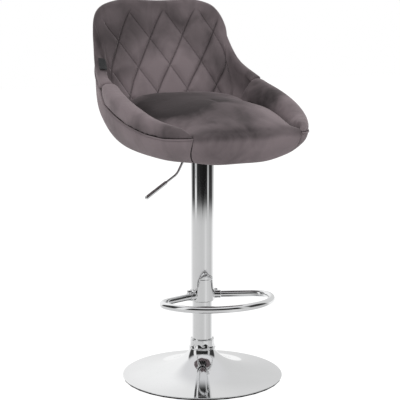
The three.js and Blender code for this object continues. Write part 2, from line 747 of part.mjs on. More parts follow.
function skinPoint(turn, down) {
  const { curve, length } = wall(turn);
  if (down < 0) return curve.getPoint(1).addScaledVector(curve.getTangent(1), -down);
  return curve.getPointAt(THREE.MathUtils.clamp(1 - down / length, 0, 1));
}

// How the skin runs at a point: round the seat for each turn, and down its wall for each millimetre
function slopes(turn, down) {
  const near = 0.0005;
  const wrap = (t) => ((t % 1) + 1) % 1;
  const safe = THREE.MathUtils.clamp(down, fit, wall(wrap(turn)).length - fit);
  const around = skinPoint(wrap(turn + near), safe).sub(skinPoint(wrap(turn - near), safe)).divideScalar(2 * near);
  const falling = skinPoint(wrap(turn), safe + fit).sub(skinPoint(wrap(turn), safe - fit)).divideScalar(2 * fit);
  return { around, falling };
}

// Way down the skin from the rim at one station: it starts square to the rim and turns into the wall
function wayDown(station) {
  const key = station.toFixed(4);
  if (!ways.has(key)) {
    const step = wallDepth / waySteps;
    const way = [{ turn: turnAt(station), down: 0 }];
    for (let k = 0; k < waySteps; k += 1) {
      const { turn, down } = way[k];
      const { around, falling } = slopes(turn, down);
      const lean = around.dot(falling) / around.lengthSq();
      const square = falling.clone().addScaledVector(around, -lean).length();
      const share = 1 - smooth(squareRimDepth, wallDepth, (k + 0.5) * step);
      way.push({ turn: turn - share * step * lean / square, down: down + step * (1 + share * (1 / square - 1)) });
    }
    ways.set(key, way);
  }
  return ways.get(key);
}

function settle(station, down) {
  const way = wayDown(station);
  const last = way[waySteps];
  if (down >= wallDepth) {
    const rest = (wall(last.turn).length - last.down) / (wallLength(station) - wallDepth);
    return { turn: last.turn, down: last.down + (down - wallDepth) * rest };
  }
  const place = Math.max(down, 0) * waySteps / wallDepth;
  const before = way[Math.floor(place)];
  const after = way[Math.floor(place) + 1];
  const share = place % 1;
  return {
    turn: before.turn + (after.turn - before.turn) * share,
    down: before.down + (after.down - before.down) * share,
  };
}

// Point at a station round the seat, a depth inward from the skin and a distance down from the rim
function seatPoint(station, inward, down) {
  const place = settle(station, down);
  const { around, falling } = slopes(place.turn, place.down);
  const normal = falling.clone().cross(around).normalize();
  const point = skinPoint(place.turn, place.down).addScaledVector(normal, inward);
  if (down >= 0) return point;
  return point.addScaledVector(around.clone().cross(normal).normalize(), down);
}

// Distance down from the rim at which the skin is a height below the top of the seat
function depthAt(station, height) {
  let [low, high] = [0, wallLength(station)];
  for (let k = 0; k < waySteps; k += 1) {
    const middle = (low + high) / 2;
    if (seatFloor + seatHeight - seatPoint(station, 0, middle).z < height) low = middle;
    else high = middle;
  }
  return (low + high) / 2;
}

function between(table, x) {
  if (x <= table[0][0]) return table[0][1];
  for (let i = 1; i < table.length; i += 1) {
    const [x1, y1] = table[i];
    if (x <= x1) {
      const [x0, y0] = table[i - 1];
      return y0 + (y1 - y0) * (x - x0) / (x1 - x0);
    }
  }
  return table[table.length - 1][1];
}

// Piping's distance below the rim, as a share of half width, against the share of the half girth
const pipingShares = [
  [0.000, 0.096], [0.330, 0.100], [0.415, 0.088], [0.445, 0.083], [0.483, 0.178],
  [0.615, 0.183], [0.712, 0.174], [0.765, 0.157], [0.835, 0.091], [1.000, 0.091],
];
const backEnd = quiltPitch * quiltColumns / quiltSteps;
const frontSeam = halfGirth * frontSeamShare;

function halfShare(station) {
  return Math.min(Math.abs(station), girth - Math.abs(station)) / halfGirth;
}

function pipingDrop(station) {
  return between(pipingShares, halfShare(station)) * seatHalfWidth;
}

// Stations shared by every layer, so that their facets stay parallel
function stations(from, to) {
  const half = [];
  for (let i = 0; i < quiltColumns; i += 1) half.push(backEnd * i / quiltColumns);
  half.push(backEnd - padSeamGap / 2, backEnd + padSeamGap / 2);
  for (let i = 1; i < wingColumns; i += 1) half.push(backEnd + (frontSeam - backEnd) * i / wingColumns);
  half.push(frontSeam - seamGap / 2, frontSeam + seamGap / 2);
  for (let i = 1; i < frontColumns; i += 1) half.push(frontSeam + (halfGirth - frontSeam) * i / frontColumns);
  const all = [...half.slice(1).map((s) => -s), ...half, halfGirth, ...half.slice(1).map((s) => girth - s)];
  return all.sort((a, b) => a - b).filter((s) => s > from - weld && s < to + weld);
}

// Rows shared by every layer, as shares of the way from the shell's edge to the floor
const rowShares = [0, 0.025, 0.17, 0.36, 0.56, 0.73, 0.87, 1];

function rows(station, low, high) {
  const length = wallLength(station);
  return rowShares.map((share, i) => {
    const down = i === 0 ? low : shellTopDrop + (length - shellTopDrop) * share;
    return THREE.MathUtils.clamp(down, Math.min(low, length), Math.min(high, length));
  });
}

// Lofts a section, given as [inward, down] pairs, over a run of stations
function wrapped(list, section) {
  const sections = list.map((station) => section(station).map(([n, d]) => seatPoint(station, n, d)));
  return new LoftGeometry(sections, { closed: true, capStart: true, capEnd: true });
}

// Same for a thin sheet whose section runs out on one face and back on the other
function strip(list, section) {
  const sections = list.map((station) => section(station).map(([n, d]) => seatPoint(station, n, d)));
  const folded = (points) => points.map((point, i) => points[Math.min(i, points.length - 1 - i)].clone());
  const all = [folded(sections[0]), ...sections, folded(sections[sections.length - 1])];
  return new LoftGeometry(all, { closed: true });
}

function makeShell() {
  const list = stations(-halfGirth + fit, halfGirth);
  const level = (inward, share) => list.map((station) => {
    const length = wallLength(station);
    return seatPoint(station, inward, shellTopDrop + (length - shellTopDrop) * share);
  });
  const outer = coverSheet + layerGap;
  const inner = outer + shellSheet;
  const middle = (height) => list.map(() => new THREE.Vector3(0, seatShift, height));
  const sections = [
    middle(shellFloor), ...[...rowShares].reverse().map((share) => level(outer, share)),
    ...rowShares.map((share) => level(inner, share)), middle(shellInside),
  ];
  const bowl = new LoftGeometry(sections, { closed: true });
  const holes = boltHoles(teeBarrelRadius + fit, seatFloor, shellInside + overrun);
  const recesses = boltHoles(teeFlangeRadius + fit, shellInside - teeFlangeSheet - fit, shellInside + overrun);
  piece('moulded_shell', cut(bowl, ...holes, ...recesses), 'moulding');

  const dust = disc(floorRadius - coverSheet, seatFloor, dustTop).translate(0, seatShift, 0);
  piece('dust_cover', cut(dust, ...boltHoles(boltRadius + fit, seatFloor - overrun, dustTop + overrun)), 'darkCloth');
}

function makeCover() {
  const list = stations(-frontSeam + seamGap / 2, frontSeam - seamGap / 2);
  const section = (station) => {
    const top = pipingDrop(station) + pipingRadius + seamGap;
    const down = rows(station, top, wallLength(station));
    return [...down.map((d) => [0, d]), ...down.reverse().map((d) => [coverSheet, d])];
  };
  piece('outer_cover', strip(list, section), 'velvet');

  const cord = (station) => {
    const drop = pipingDrop(station);
    return Array.from({ length: 6 }, (_, i) => {
      const angle = Math.PI * (i + 0.5) / 3;
      return [pipingInset + pipingRadius * Math.cos(angle), drop + pipingRadius * Math.sin(angle)];
    });
  };
  piece('piping', wrapped(list, cord), 'velvet');
}

// Outside run of a pad: down over the shell's edge to the piping, or to the floor at the front
function hookRows(station, top) {
  const inFront = Math.abs(halfGirth - Math.abs(station)) < halfGirth - frontSeam;
  const end = inFront ? wallLength(station) : pipingDrop(station) - pipingRadius - 2 * seamGap;
  const outside = rows(station, top, end);
  const inside = rows(station, shellTopDrop - edgeGap, end);
  return [...inside.map((d) => [hookSheet, d]), ...outside.reverse().map((d) => [0, d])];
}

// A roll's rounded top, squarer on its outer half; a lift moves it outward
function crownPoint(thickness, height, angle, lift = 0) {
  const square = angle < Math.PI / 2 ? crownSquareness : 1;
  const across = Math.sign(Math.cos(angle)) * Math.abs(Math.cos(angle)) ** square;
  return [thickness / 2 - (thickness / 2 + lift) * across, height - (height + lift) * Math.sin(angle) ** square];
}

function crown(thickness, height, steps) {
  const angles = Array.from({ length: steps - 1 }, (_, i) => Math.PI * (i + 1) / steps);
  return angles.map((angle) => crownPoint(thickness, height, angle));
}

function smooth(low, high, x) {
  const t = THREE.MathUtils.clamp((x - low) / (high - low), 0, 1);
  return t * t * (3 - 2 * t);
}

function makeBackPad() {
  const list = stations(-backEnd + padSeamGap / 2, backEnd - padSeamGap / 2);
  const rimTop = seatFloor + seatHeight;
  const rowHeight = quiltRise / quiltSteps;
  const inner = coverSheet + shellSheet + layerGap + padClearance;
  const section = (station) => {
    const drop = rimTop - skinPoint(turnAt(station), 0).z;
    const column = station / (quiltPitch / quiltSteps);
    const depth = depthAt(station, backPadDepth);
    const lumbar = lumbarSwell * smooth(0, quiltPitch, backEnd - Math.abs(station));
    const face = [];
    for (let k = 1; k <= Math.round(backPadDepth / rowHeight); k += 1) {
      const level = k * rowHeight > drop ? depthAt(station, k * rowHeight) : 0;
      const down = THREE.MathUtils.clamp(level, backRollHeight, depth);
      const swell = backThickness + lumbar * smooth(backPadDepth / 3, backPadDepth, k * rowHeight);
      const halfway = quiltSteps / 2;
      const offLine = (sum) => Math.abs(((sum % quiltSteps) + quiltSteps + halfway) % quiltSteps - halfway);
      const nearest = Math.min(offLine(column + k - 1), offLine(column - k + 1)) / halfway;
      const fade = smooth(0, rowHeight / 2, down - backRollHeight) * smooth(0, rowHeight / 2, backEnd - Math.abs(station));
      const sunk = quiltDepth * (1 - nearest) ** 1.4 * fade;
      face.push([swell - sunk, down]);
    }
    const base = face[face.length - 1];
    const behind = rows(station, shellTopDrop - edgeGap, depth - rowHeight / 2).reverse();
    return [
      ...crown(backThickness, backRollHeight, 5), ...face,
      [(base[0] + inner) / 2, depth + rowHeight / 4], [inner + overrun * 2, depth],
      ...behind.map((d, i) => [i < 2 ? inner + layerGap : inner, d]),
      [inner * 0.75, shellTopDrop - 1.5 * edgeGap], [inner / 4, shellTopDrop - 1.5 * edgeGap], ...hookRows(station, backRollHeight),
    ];
  };
  piece('back_pad', wrapped(list, section), 'velvet');
}

// Line in plan between the cushion and the wings, as shares of half width and reach
const boundaryShares = [
  [0.690, 0.660], [0.710, 0.450], [0.737, 0.220], [0.737, 0.000], [0.743, -0.250], [0.717, -0.417],
  [0.665, -0.604], [0.625, -0.800], [0.609, -0.900], [0.609, -1.100],
];

function boundary(inset) {
  const right = boundaryShares.map(([x, y]) => new THREE.Vector2(x * seatHalfWidth - inset, y * seatReach + seatShift));
  const left = right.map((p) => new THREE.Vector2(-p.x, p.y)).reverse();
  return [...right, ...left];
}

function makeWingsAndCushion() {
  const list = stations(backEnd + padSeamGap / 2, girth - backEnd - padSeamGap / 2);
  const inner = coverSheet + shellSheet + layerGap + padClearance;
  const section = (station) => {
    const height = Math.min(rollHeight, pipingDrop(station) - pipingRadius - 3 * seamGap);
    const length = wallLength(station);
    const toFront = smooth(frontSeam - frontBlend, frontSeam + frontBlend, halfShare(station) * halfGirth);
    const thickness = wingThickness + frontSwell * toFront;
    const depth = Math.min(wingDepth, length / 2);
    const behind = rows(station, shellTopDrop - edgeGap, depth - rollHeight / 2).reverse();
    return [
      ...crown(thickness, height, 6), [thickness, height],
      [thickness + wingSlope / 3, (height + depth) / 2], [thickness + wingSlope, depth],
      [inner + overrun * 2, depth], ...behind.map((d) => [inner, d]), ...hookRows(station, height),
    ];
  };
  const roll = wrapped(list, section);
  const tall = (inset) => plate(new THREE.Shape(boundary(inset)), seatFloor - seatHeight / 2, seatFloor + seatHeight);
  const wings = cut(roll, tall(-seamGap / 2));
  const side = (sign) => new THREE.BoxGeometry(seatHalfWidth * 2, seatReach * 4, seatHeight * 4)
    .translate(sign * seatHalfWidth, 0, seatFloor);
  piece('wing_left', common(wings, side(-1)), 'velvet');
  piece('wing_right', common(wings, side(1)), 'velvet');

  const filler = makeFiller();
  const front = new THREE.BoxGeometry(seatHalfWidth * 2, seatReach, seatHeight * 4).translate(0, -seatReach, seatFloor);
  piece('seat_cushion', join(common(common(roll, tall(seamGap / 2)), front), filler), 'velvet');
}

// Cushion's edge in plan with its edge height, from the middle of the rear round to the front,
// as shares of half width, reach and height over the seat floor
const edgeShares = [
  [0.000, 0.645, 0.345], [0.260, 0.640, 0.340], [0.470, 0.612, 0.322], [0.590, 0.550, 0.306],
  [0.665, 0.455, 0.294], [0.708, 0.350, 0.284], [0.732, 0.200, 0.272], [0.737, 0.000, 0.260], [0.743, -0.250, 0.245],
  [0.717, -0.417, 0.228], [0.665, -0.604, 0.205], [0.600, -0.760, 0.180], [0.440, -0.820, 0.170],
  [0.220, -0.845, 0.168], [0.000, -0.850, 0.166],
];

function makeFiller() {
  const half = edgeShares.map(([x, y, z]) => new THREE.Vector3(
    Math.max(x * seatHalfWidth - seamGap / 2, 0),
    y * seatReach + seatShift,
    seatFloor + z * seatHeight,
  ));
  const edge = [...half, ...half.slice(1, -1).reverse().map((p) => new THREE.Vector3(-p.x, p.y, p.z))];
  const centre = new THREE.Vector3(0, seatShift - cushionCrown, seatFloor + cushionCentreShare * seatHeight);
  const level = (share, height) => edge.map((p) => {
    const at = p.clone().lerp(centre, share);
    at.z = height(p);
    return at;
  });
  const radius = cushionEdgeRadius;
  const inset = radius / (seatHalfWidth * 0.7);
  const floor = shellInside + 2 * fit;
  const domed = (share) => (p) => p.z + (centre.z - p.z) * Math.sin(share * Math.PI / 2) ** 0.9;
  const middle = (height) => edge.map(() => new THREE.Vector3(centre.x, centre.y, height));
  const sections = [
    middle(floor),
    level(0.55, () => floor),
    level(0.28, (p) => floor + (p.z - floor) * 0.2),
    level(0.06, (p) => floor + (p.z - floor) * 0.5),
    level(0, (p) => floor + (p.z - floor) * 0.7),
    level(0, (p) => p.z - radius),
    level(inset * 0.25, (p) => p.z - radius * 0.45),
    level(inset, domed(inset)),
    level(0.25, domed(0.25)),
    level(0.45, domed(0.45)),
    level(0.65, domed(0.65)),
    level(0.85, domed(0.85)),
    middle(centre.z),
  ];
  return new LoftGeometry(sections, { closed: true });
}

// Small sewn tab lying over the roll at the left edge of the back, left bare
function makeTab() {
  const middle = -tabStationShare * halfGirth;
  const list = [-1, -0.33, 0.33, 1].map((share) => middle + share * tabLength / 2);
  const over = (lift, degrees) => crownPoint(backThickness, backRollHeight, THREE.MathUtils.degToRad(degrees), lift);
  const turns = [0, 0.33, 0.67, 1].map((share) => tabStartAngle + (tabEndAngle - tabStartAngle) * share);
  const section = () => [
    ...turns.map((degrees) => over(tabLift, degrees)),
    ...[...turns].reverse().map((degrees) => over(tabLift + tabSheet, degrees)),
  ];
  piece('label_tab', strip(list, section), 'darkCloth');
}

makeBase();
makeGasSpring();
makeCoverTube();
makeFootrest();
makeSeatPlate();
makeLever();
makeShell();
makeCover();
makeBackPad();
makeWingsAndCushion();
makeTab();

export default group;
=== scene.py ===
import json
import math

import bmesh
import bpy
import numpy as np
from bpy.props import FloatProperty, FloatVectorProperty, PointerProperty
from mathutils import Matrix, Vector, kdtree


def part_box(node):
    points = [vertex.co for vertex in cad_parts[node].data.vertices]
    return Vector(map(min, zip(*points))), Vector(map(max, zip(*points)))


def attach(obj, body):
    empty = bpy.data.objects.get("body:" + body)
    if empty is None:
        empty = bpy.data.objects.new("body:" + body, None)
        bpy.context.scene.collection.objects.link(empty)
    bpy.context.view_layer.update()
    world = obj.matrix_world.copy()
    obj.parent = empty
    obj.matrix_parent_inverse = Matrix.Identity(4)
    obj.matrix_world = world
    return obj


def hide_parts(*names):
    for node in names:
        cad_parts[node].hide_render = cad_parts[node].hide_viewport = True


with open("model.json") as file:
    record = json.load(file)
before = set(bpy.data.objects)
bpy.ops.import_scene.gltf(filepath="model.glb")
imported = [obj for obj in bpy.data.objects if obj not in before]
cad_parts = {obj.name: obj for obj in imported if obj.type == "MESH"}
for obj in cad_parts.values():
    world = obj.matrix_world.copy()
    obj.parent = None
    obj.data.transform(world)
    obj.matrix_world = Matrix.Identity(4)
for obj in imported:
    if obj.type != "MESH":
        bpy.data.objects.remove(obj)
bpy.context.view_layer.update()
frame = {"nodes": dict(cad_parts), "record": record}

bl_info = {
    "name": "Swivel stool",
    "version": (1, 0, 0),
    "blender": (4, 5, 0),
    "location": "3D View > Sidebar > Stool",
    "description": "Upholstery, chrome and stage of a gas-lift stool with a quilted bucket seat",
    "category": "Object",
}

MM = 0.001
COVER_TUBE = 27.0
# Height under the seat where the painted shade on the upper column is darkest
PAINTED_SHADE_TOP = 0.530
# Level direction of the photo's view
FACING = (0.477, 0.879)


# ---------------------------------------------------------------- sizes and colours

class StoolSizes(bpy.types.PropertyGroup):
    """Sizes that a user would change"""

    quilt_pitch: FloatProperty(
        name="Diamond width", description="Distance between two quilted lines round the back",
        default=0.091, min=0.04, unit="LENGTH",
    )
    quilt_rise: FloatProperty(
        name="Diamond height", description="Height of one quilted diamond", default=0.137, min=0.06, unit="LENGTH",
    )
    channel_depth: FloatProperty(
        name="Channel depth", description="How deep a sewn line sinks into the back pad",
        default=0.0042, min=0, unit="LENGTH",
    )
    channel_width: FloatProperty(
        name="Channel width", description="Width of the hollow along a sewn line",
        default=0.0105, min=0.002, unit="LENGTH",
    )
    voxel: FloatProperty(
        name="Remesh voxel", description="Cell size of the pads before they are blown up",
        default=0.0045, unit="LENGTH",
    )
    pad_swell: FloatProperty(
        name="Pad swell", description="The furthest that a point of a pad moves when it is blown up",
        default=0.006, min=0, unit="LENGTH",
    )
    piping_radius: FloatProperty(
        name="Piping radius", description="Half the thickness of the piping cord", default=0.0021, unit="LENGTH",
    )


class StoolColours(bpy.types.PropertyGroup):
    """Colours that a user would change"""

    # The light end of every velvet's mix: pile towards the light, and also where painted light lightens the velvet
    velvet: FloatVectorProperty(
        name="Velvet", description="Velvet with its pile towards the light",
        subtype="COLOR", size=3, default=(0.234, 0.193, 0.203), min=0, max=1,
    )
    # The dark end of every velvet's mix: pile brushed the other way, and also where painted shade darkens the velvet
    velvet_dark: FloatVectorProperty(
        name="Velvet against the pile", description="Velvet where the pile is brushed the other way",
        subtype="COLOR", size=3, default=(0.036, 0.031, 0.032), min=0, max=1,
    )
    chrome: FloatVectorProperty(
        name="Chrome", description="Tint of the polished chrome",
        subtype="COLOR", size=3, default=(0.87, 0.875, 0.88), min=0, max=1,
    )
    tab: FloatVectorProperty(
        name="Tab", description="Sewn tab at the edge of the back", subtype="COLOR", size=3,
        default=(0.012, 0.012, 0.013), min=0, max=1,
    )


def sizes():
    return bpy.context.scene.stool_sizes


def colours():
    return bpy.context.scene.stool_colours


# ---------------------------------------------------------------- materials

class Value:
    """A socket in a recipe, which Python's operators turn into Math nodes"""

    def __init__(self, recipe, socket):
        self.recipe = recipe
        self.socket = socket

    def maths(self, operation, *terms):
        return self.recipe.add("ShaderNodeMath", {"operation": operation}, dict(enumerate(terms)))

    def __add__(self, other):
        return self.maths("ADD", self, other)

    def __sub__(self, other):
        return self.maths("SUBTRACT", self, other)

    def __rsub__(self, other):
        return self.maths("SUBTRACT", other, self)

    def __mul__(self, other):
        return self.maths("MULTIPLY", self, other)

    def __truediv__(self, other):
        return self.maths("DIVIDE", self, other)

    def __abs__(self):
        return self.maths("ABSOLUTE", self)

    __radd__ = __add__
    __rmul__ = __mul__

    def least(self, other):
        return self.maths("MINIMUM", self, other)

    def most(self, other):
        return self.maths("MAXIMUM", self, other)

    def sine(self):
        return self.maths("SINE", self)

    def part(self):
        """What is left over a whole number"""
        return self.maths("FRACT", self)

    def step(self, low, high):
        """0 below low, 1 above high and smooth in between"""
        return self.recipe.add(
            "ShaderNodeMapRange", {"interpolation_type": "SMOOTHSTEP"},
            {"Value": self, "From Min": low, "From Max": high, "To Min": 0.0, "To Max": 1.0},
        )


class Graph:
    """Nodes of one tree, each added with its settings and links"""

    def __init__(self, tree):
        self.tree = tree

    def add(self, kind, settings=None, inputs=None, output=0):
        node = self.tree.nodes.new(kind)
        for key, value in (settings or {}).items():
            setattr(node, key, value)
        for key, value in (inputs or {}).items():
            self.feed(self.socket(node.inputs, key), value)
        return Value(self, self.socket(node.outputs, output))

    def socket(self, sockets, key):
        if isinstance(key, int):
            return sockets[key]
        return next((s for s in sockets if s.identifier == key), None) or sockets[key]

    def feed(self, socket, value):
        if isinstance(value, Value):
            self.tree.links.new(value.socket, socket)
        elif hasattr(value, "__len__") and len(value) == 3 and socket.type == "RGBA":
            socket.default_value = (*value, 1.0)
        else:
            socket.default_value = value

    def place(self, kind="Object"):
        return self.add("ShaderNodeTexCoord", output=kind)

    def axis(self, vector, letter):
        return self.add("ShaderNodeSeparateXYZ", {}, {"Vector": vector}, output=letter)

    def mix(self, share, first, second):
        return self.add(
            "ShaderNodeMix", {"data_type": "RGBA"},
            {"Factor_Float": share, "A_Color": first, "B_Color": second}, output="Result_Color",
        )


class Recipe(Graph):
    """One material on a Principled shader, whose constants sit on its own sockets"""

    def __init__(self, name, **constants):
        self.material = bpy.data.materials.new(name)
        self.material.use_nodes = True
        super().__init__(self.material.node_tree)
        self.shader = self.tree.nodes["Principled BSDF"]
        for socket, value in constants.items():
            self.shader.inputs[socket.replace("_", " ")].default_value = value

    def attribute(self, name):
        return self.add("ShaderNodeAttribute", {"attribute_name": name}, output="Fac")

    def turned(self, vector, scale=(1, 1, 1), rotation=(0, 0, 0)):
        return self.add("ShaderNodeMapping", {}, {"Vector": vector, "Scale": scale, "Rotation": rotation})

    def noise(self, vector, scale, detail=2.0, roughness=0.5, distortion=0.0):
        return self.add("ShaderNodeTexNoise", {}, {
            "Vector": vector, "Scale": scale, "Detail": detail, "Roughness": roughness, "Distortion": distortion,
        }, output="Fac")

    def near(self, vector, point, radius):
        """1 at a point and 0 beyond a radius"""
        away = self.add("ShaderNodeVectorMath", {"operation": "DISTANCE"}, {0: vector, 1: point}, output="Value")
        return 1 - away.step(0.15 * radius, radius)

    def shade(self, colour, value):
        """A colour times a number"""
        grey = self.add("ShaderNodeCombineColor", {}, {"Red": value, "Green": value, "Blue": value})
        return self.add(
            "ShaderNodeMix", {"data_type": "RGBA", "blend_type": "MULTIPLY"},
            {"Factor_Float": 1.0, "A_Color": colour, "B_Color": grey}, output="Result_Color",
        )

    def bump(self, height, distance, strength=1.0, normal=None):
        inputs = {"Height": height, "Distance": distance, "Strength": strength}
        if normal:
            inputs["Normal"] = normal
        return self.add("ShaderNodeBump", {}, inputs)

    def done(self, **outputs):
        for socket, value in outputs.items():
            self.feed(self.shader.inputs[socket.replace("_", " ")], value)
        return self.material


def polished_chrome(name="polished chrome", roughness=0.05, painted_streaks=(), ripple=0.0):
    """Bright chrome plate with faint wiping marks. On the upper column it also carries painted shade: the top of the
    tube is darker under the seat, with pointed streaks of painted shade and painted reflection of the seat. Each
    painted streak is its angle round the column from the side facing the front left, its half width at the top and the
    height of its pointed foot; a ripple makes the plate uneven"""
    recipe = Recipe(name, Metallic=1.0)
    place = recipe.place()
    wiped = recipe.noise(recipe.turned(place, scale=(1, 1, 0.15)), 60.0, 3.0, 0.6)
    haze = recipe.noise(place, 9.0, 4.0, 0.6)
    colour = recipe.mix(haze.step(0.3, 0.75), tuple(colours().chrome), tuple(c * 0.965 for c in colours().chrome))
    rough = roughness + wiped * 0.02 + haze.step(0.5, 0.8) * 0.025
    if painted_streaks:
        height = recipe.axis(place, "Z")
        grain = recipe.noise(recipe.turned(place, scale=(1, 1, 0.03)), 120.0, 2.0, 0.6)
        flat = recipe.turned(place, scale=(1, 1, 0))
        # Painted shade: the chrome's colour darkens towards the top of the tube under the seat, and in pointed streaks
        # of painted shade and painted reflection of the seat
        dark = height.step(PAINTED_SHADE_TOP - 0.075, PAINTED_SHADE_TOP) * 0.3
        x, y = FACING
        for angle, width, foot in painted_streaks:
            turn = math.radians(angle)
            middle = Vector((
                y * math.sin(turn) - x * math.cos(turn), -x * math.sin(turn) - y * math.cos(turn), 0,
            )) * COVER_TUBE * MM
            away = recipe.add("ShaderNodeVectorMath", {"operation": "DISTANCE"}, {0: flat, 1: middle}, output="Value")
            shade_wedge = ((height - foot) * (width / (PAINTED_SHADE_TOP - foot)) - away).step(-0.0012, 0.0012)
            dark = dark.most(shade_wedge * (0.30 + height.step(foot, foot + 0.07) * 0.25))
        colour = recipe.shade(colour, 1 - dark * (0.80 + grain.step(0.35, 0.6) * 0.2))
    normal = recipe.bump(recipe.noise(place, 26.0, 1.0), 0.00006, 0.35)
    if ripple:
        normal = recipe.bump(recipe.noise(place, 78.0, 1.0), ripple, 0.8, normal)
    return recipe.done(Base_Color=colour, Roughness=rough, Normal=normal)


def worn_metal(name, colour, roughness, grain, metallic=1.0, pits=0.0):
    """Plain or painted metal with a grain, darker stains and scuffs"""
    recipe = Recipe(name, Metallic=metallic)
    place = recipe.place()
    brushed = recipe.noise(recipe.turned(place, scale=(1, 1, 8)), grain, 3.0, 0.6)
    stain = recipe.noise(place, 24.0, 4.0, 0.65)
    tone = recipe.mix(stain.step(0.42, 0.72), colour, tuple(c * 0.72 for c in colour))
    tone = recipe.shade(tone, 0.92 + brushed * 0.16)
    height = brushed * 0.3 + recipe.noise(place, 380.0, 2.0) * (0.4 + pits)
    return recipe.done(
        Base_Color=tone, Roughness=roughness + stain * 0.14 - brushed * 0.08,
        Normal=recipe.bump(height, 0.0002 + 0.0004 * pits, 0.5),
    )


def moulded_plastic(name, colour, roughness, texture=700.0, depth=0.00012):
    """Plastic or rubber with a fine moulded texture and dusty patches"""
    recipe = Recipe(name, IOR=1.48)
    place = recipe.place()
    grain = recipe.noise(place, texture, 2.0)
    dust = recipe.noise(place, 18.0, 5.0, 0.7)
    tone = recipe.mix(dust.step(0.5, 0.85), colour, tuple(min(1.0, c * 1.35 + 0.012) for c in colour))
    return recipe.done(
        Base_Color=tone, Roughness=roughness + dust.step(0.4, 0.8) * 0.12 + grain * 0.06,
        Normal=recipe.bump(grain, depth, 0.6),
    )


def felted_cloth(name, colour):
    """Black non-woven sheet under the seat, with its bonded dot pattern"""
    recipe = Recipe(name, Roughness=0.95, Specular_IOR_Level=0.2)
    place = recipe.place()
    fibres = recipe.noise(place, 900.0, 4.0, 0.7)
    dots = recipe.add(
        "ShaderNodeTexVoronoi", {"feature": "F1"}, {"Vector": place, "Scale": 420.0, "Randomness": 0.15}, "Distance",
    )
    pressed = 1 - dots.step(0.12, 0.42)
    tone = recipe.mix(fibres.step(0.35, 0.7), colour, tuple(c * 1.9 + 0.008 for c in colour))
    return recipe.done(
        Base_Color=recipe.shade(tone, 1 - pressed * 0.35),
        Normal=recipe.bump(fibres * 0.6 - pressed, 0.00035, 0.7),
    )


def sewn_tab(name, colour):
    """Fine black woven tab with its selvedge; it carries nothing"""
    recipe = Recipe(name, Roughness=0.7, Sheen_Weight=0.15, Sheen_Roughness=0.4)
    place = recipe.place()
    across = recipe.axis(place, "Z")
    weft = (across * 7200.0).sine()
    warp = (recipe.axis(place, "Y") * 9000.0).sine()
    tone = recipe.mix((weft * warp).step(-0.8, 1.0), colour, tuple(c * 2.2 + 0.004 for c in colour))
    return recipe.done(Base_Color=tone, Normal=recipe.bump(weft + warp, 0.00012, 0.5))


def velvet(name, painted_shade_and_pile_spots=(), painted_light_and_pile_spots=(), quilted=False, sheen=0.40, front_shade_band=None):
    """Short-pile velvet: brushed patches, fine fibres and an edge sheen. Listed patches and a front band add painted
    shade and painted light on top of the pile's own patches. Quilted adds the sewn lines, with painted shade in their
    hollows
    """
    recipe = Recipe(
        name, Sheen_Weight=sheen, Sheen_Roughness=0.42, Sheen_Tint=(0.80, 0.70, 0.72, 1.0), Specular_IOR_Level=0.12,
    )
    place = recipe.place()
    brushed = recipe.noise(place, 7.5, 3.0, 0.5, 0.7)
    smear = recipe.noise(recipe.turned(place, scale=(1, 1, 0.35), rotation=(0.3, 0.5, 0)), 24.0, 3.0, 0.55, 0.9)
    pile = recipe.noise(place, 1500.0, 2.0)
    fibres = recipe.noise(recipe.turned(place, scale=(1, 1, 0.3)), 460.0, 2.0)
    pile_and_painted_light = brushed.step(0.38, 0.66) * 0.34 + smear.step(0.35, 0.7) * 0.14 + 0.04
    # Painted shade and painted light: listed patches darken or lighten the velvet's colour, partly standing for pile
    # brushed the other way
    for point, radius, amount in painted_shade_and_pile_spots:
        pile_and_painted_light = pile_and_painted_light + recipe.near(place, point, radius) * amount
    for point, radius, amount in painted_light_and_pile_spots:
        pile_and_painted_light = pile_and_painted_light - recipe.near(place, point, radius) * amount
    # Painted shade: a darker band across the front of the cushion, under the crown of its front roll, fading out
    # towards the back
    if front_shade_band:
        low, high, amount = front_shade_band
        height, depth = recipe.axis(place, "Z"), recipe.axis(place, "Y")
        shade_band = (height + smear * 0.012).step(low, low + 0.016) * (1 - height.step(high - 0.004, high + 0.016))
        pile_and_painted_light = pile_and_painted_light + shade_band * (1 - depth.step(-0.212, -0.165)) * amount
    pile_and_painted_light = pile_and_painted_light.most(0.0).least(1.0)
    colour = recipe.mix(pile_and_painted_light, tuple(colours().velvet), tuple(colours().velvet_dark))
    light = 0.9 + pile * 0.12 + fibres * 0.08
    height = pile * 0.35 + fibres * 0.45
    normal = recipe.bump(height, 0.0004, 0.45)
    normal = recipe.bump(smear * 0.6 + brushed, 0.0022, 0.5, normal)
    if quilted:
        hollow, stitch = sewn_lines(recipe)
        # Painted shade darkens the channels' hollows; the stitches darken as dark thread
        light = light * (1 - hollow * 0.38) * (1 - stitch * 0.35)
        normal = recipe.bump(1 - hollow - stitch * 0.4, 0.0014, 0.9, normal)
    return recipe.done(Base_Color=recipe.shade(colour, light), Roughness=0.78 + pile_and_painted_light * 0.14, Normal=normal)


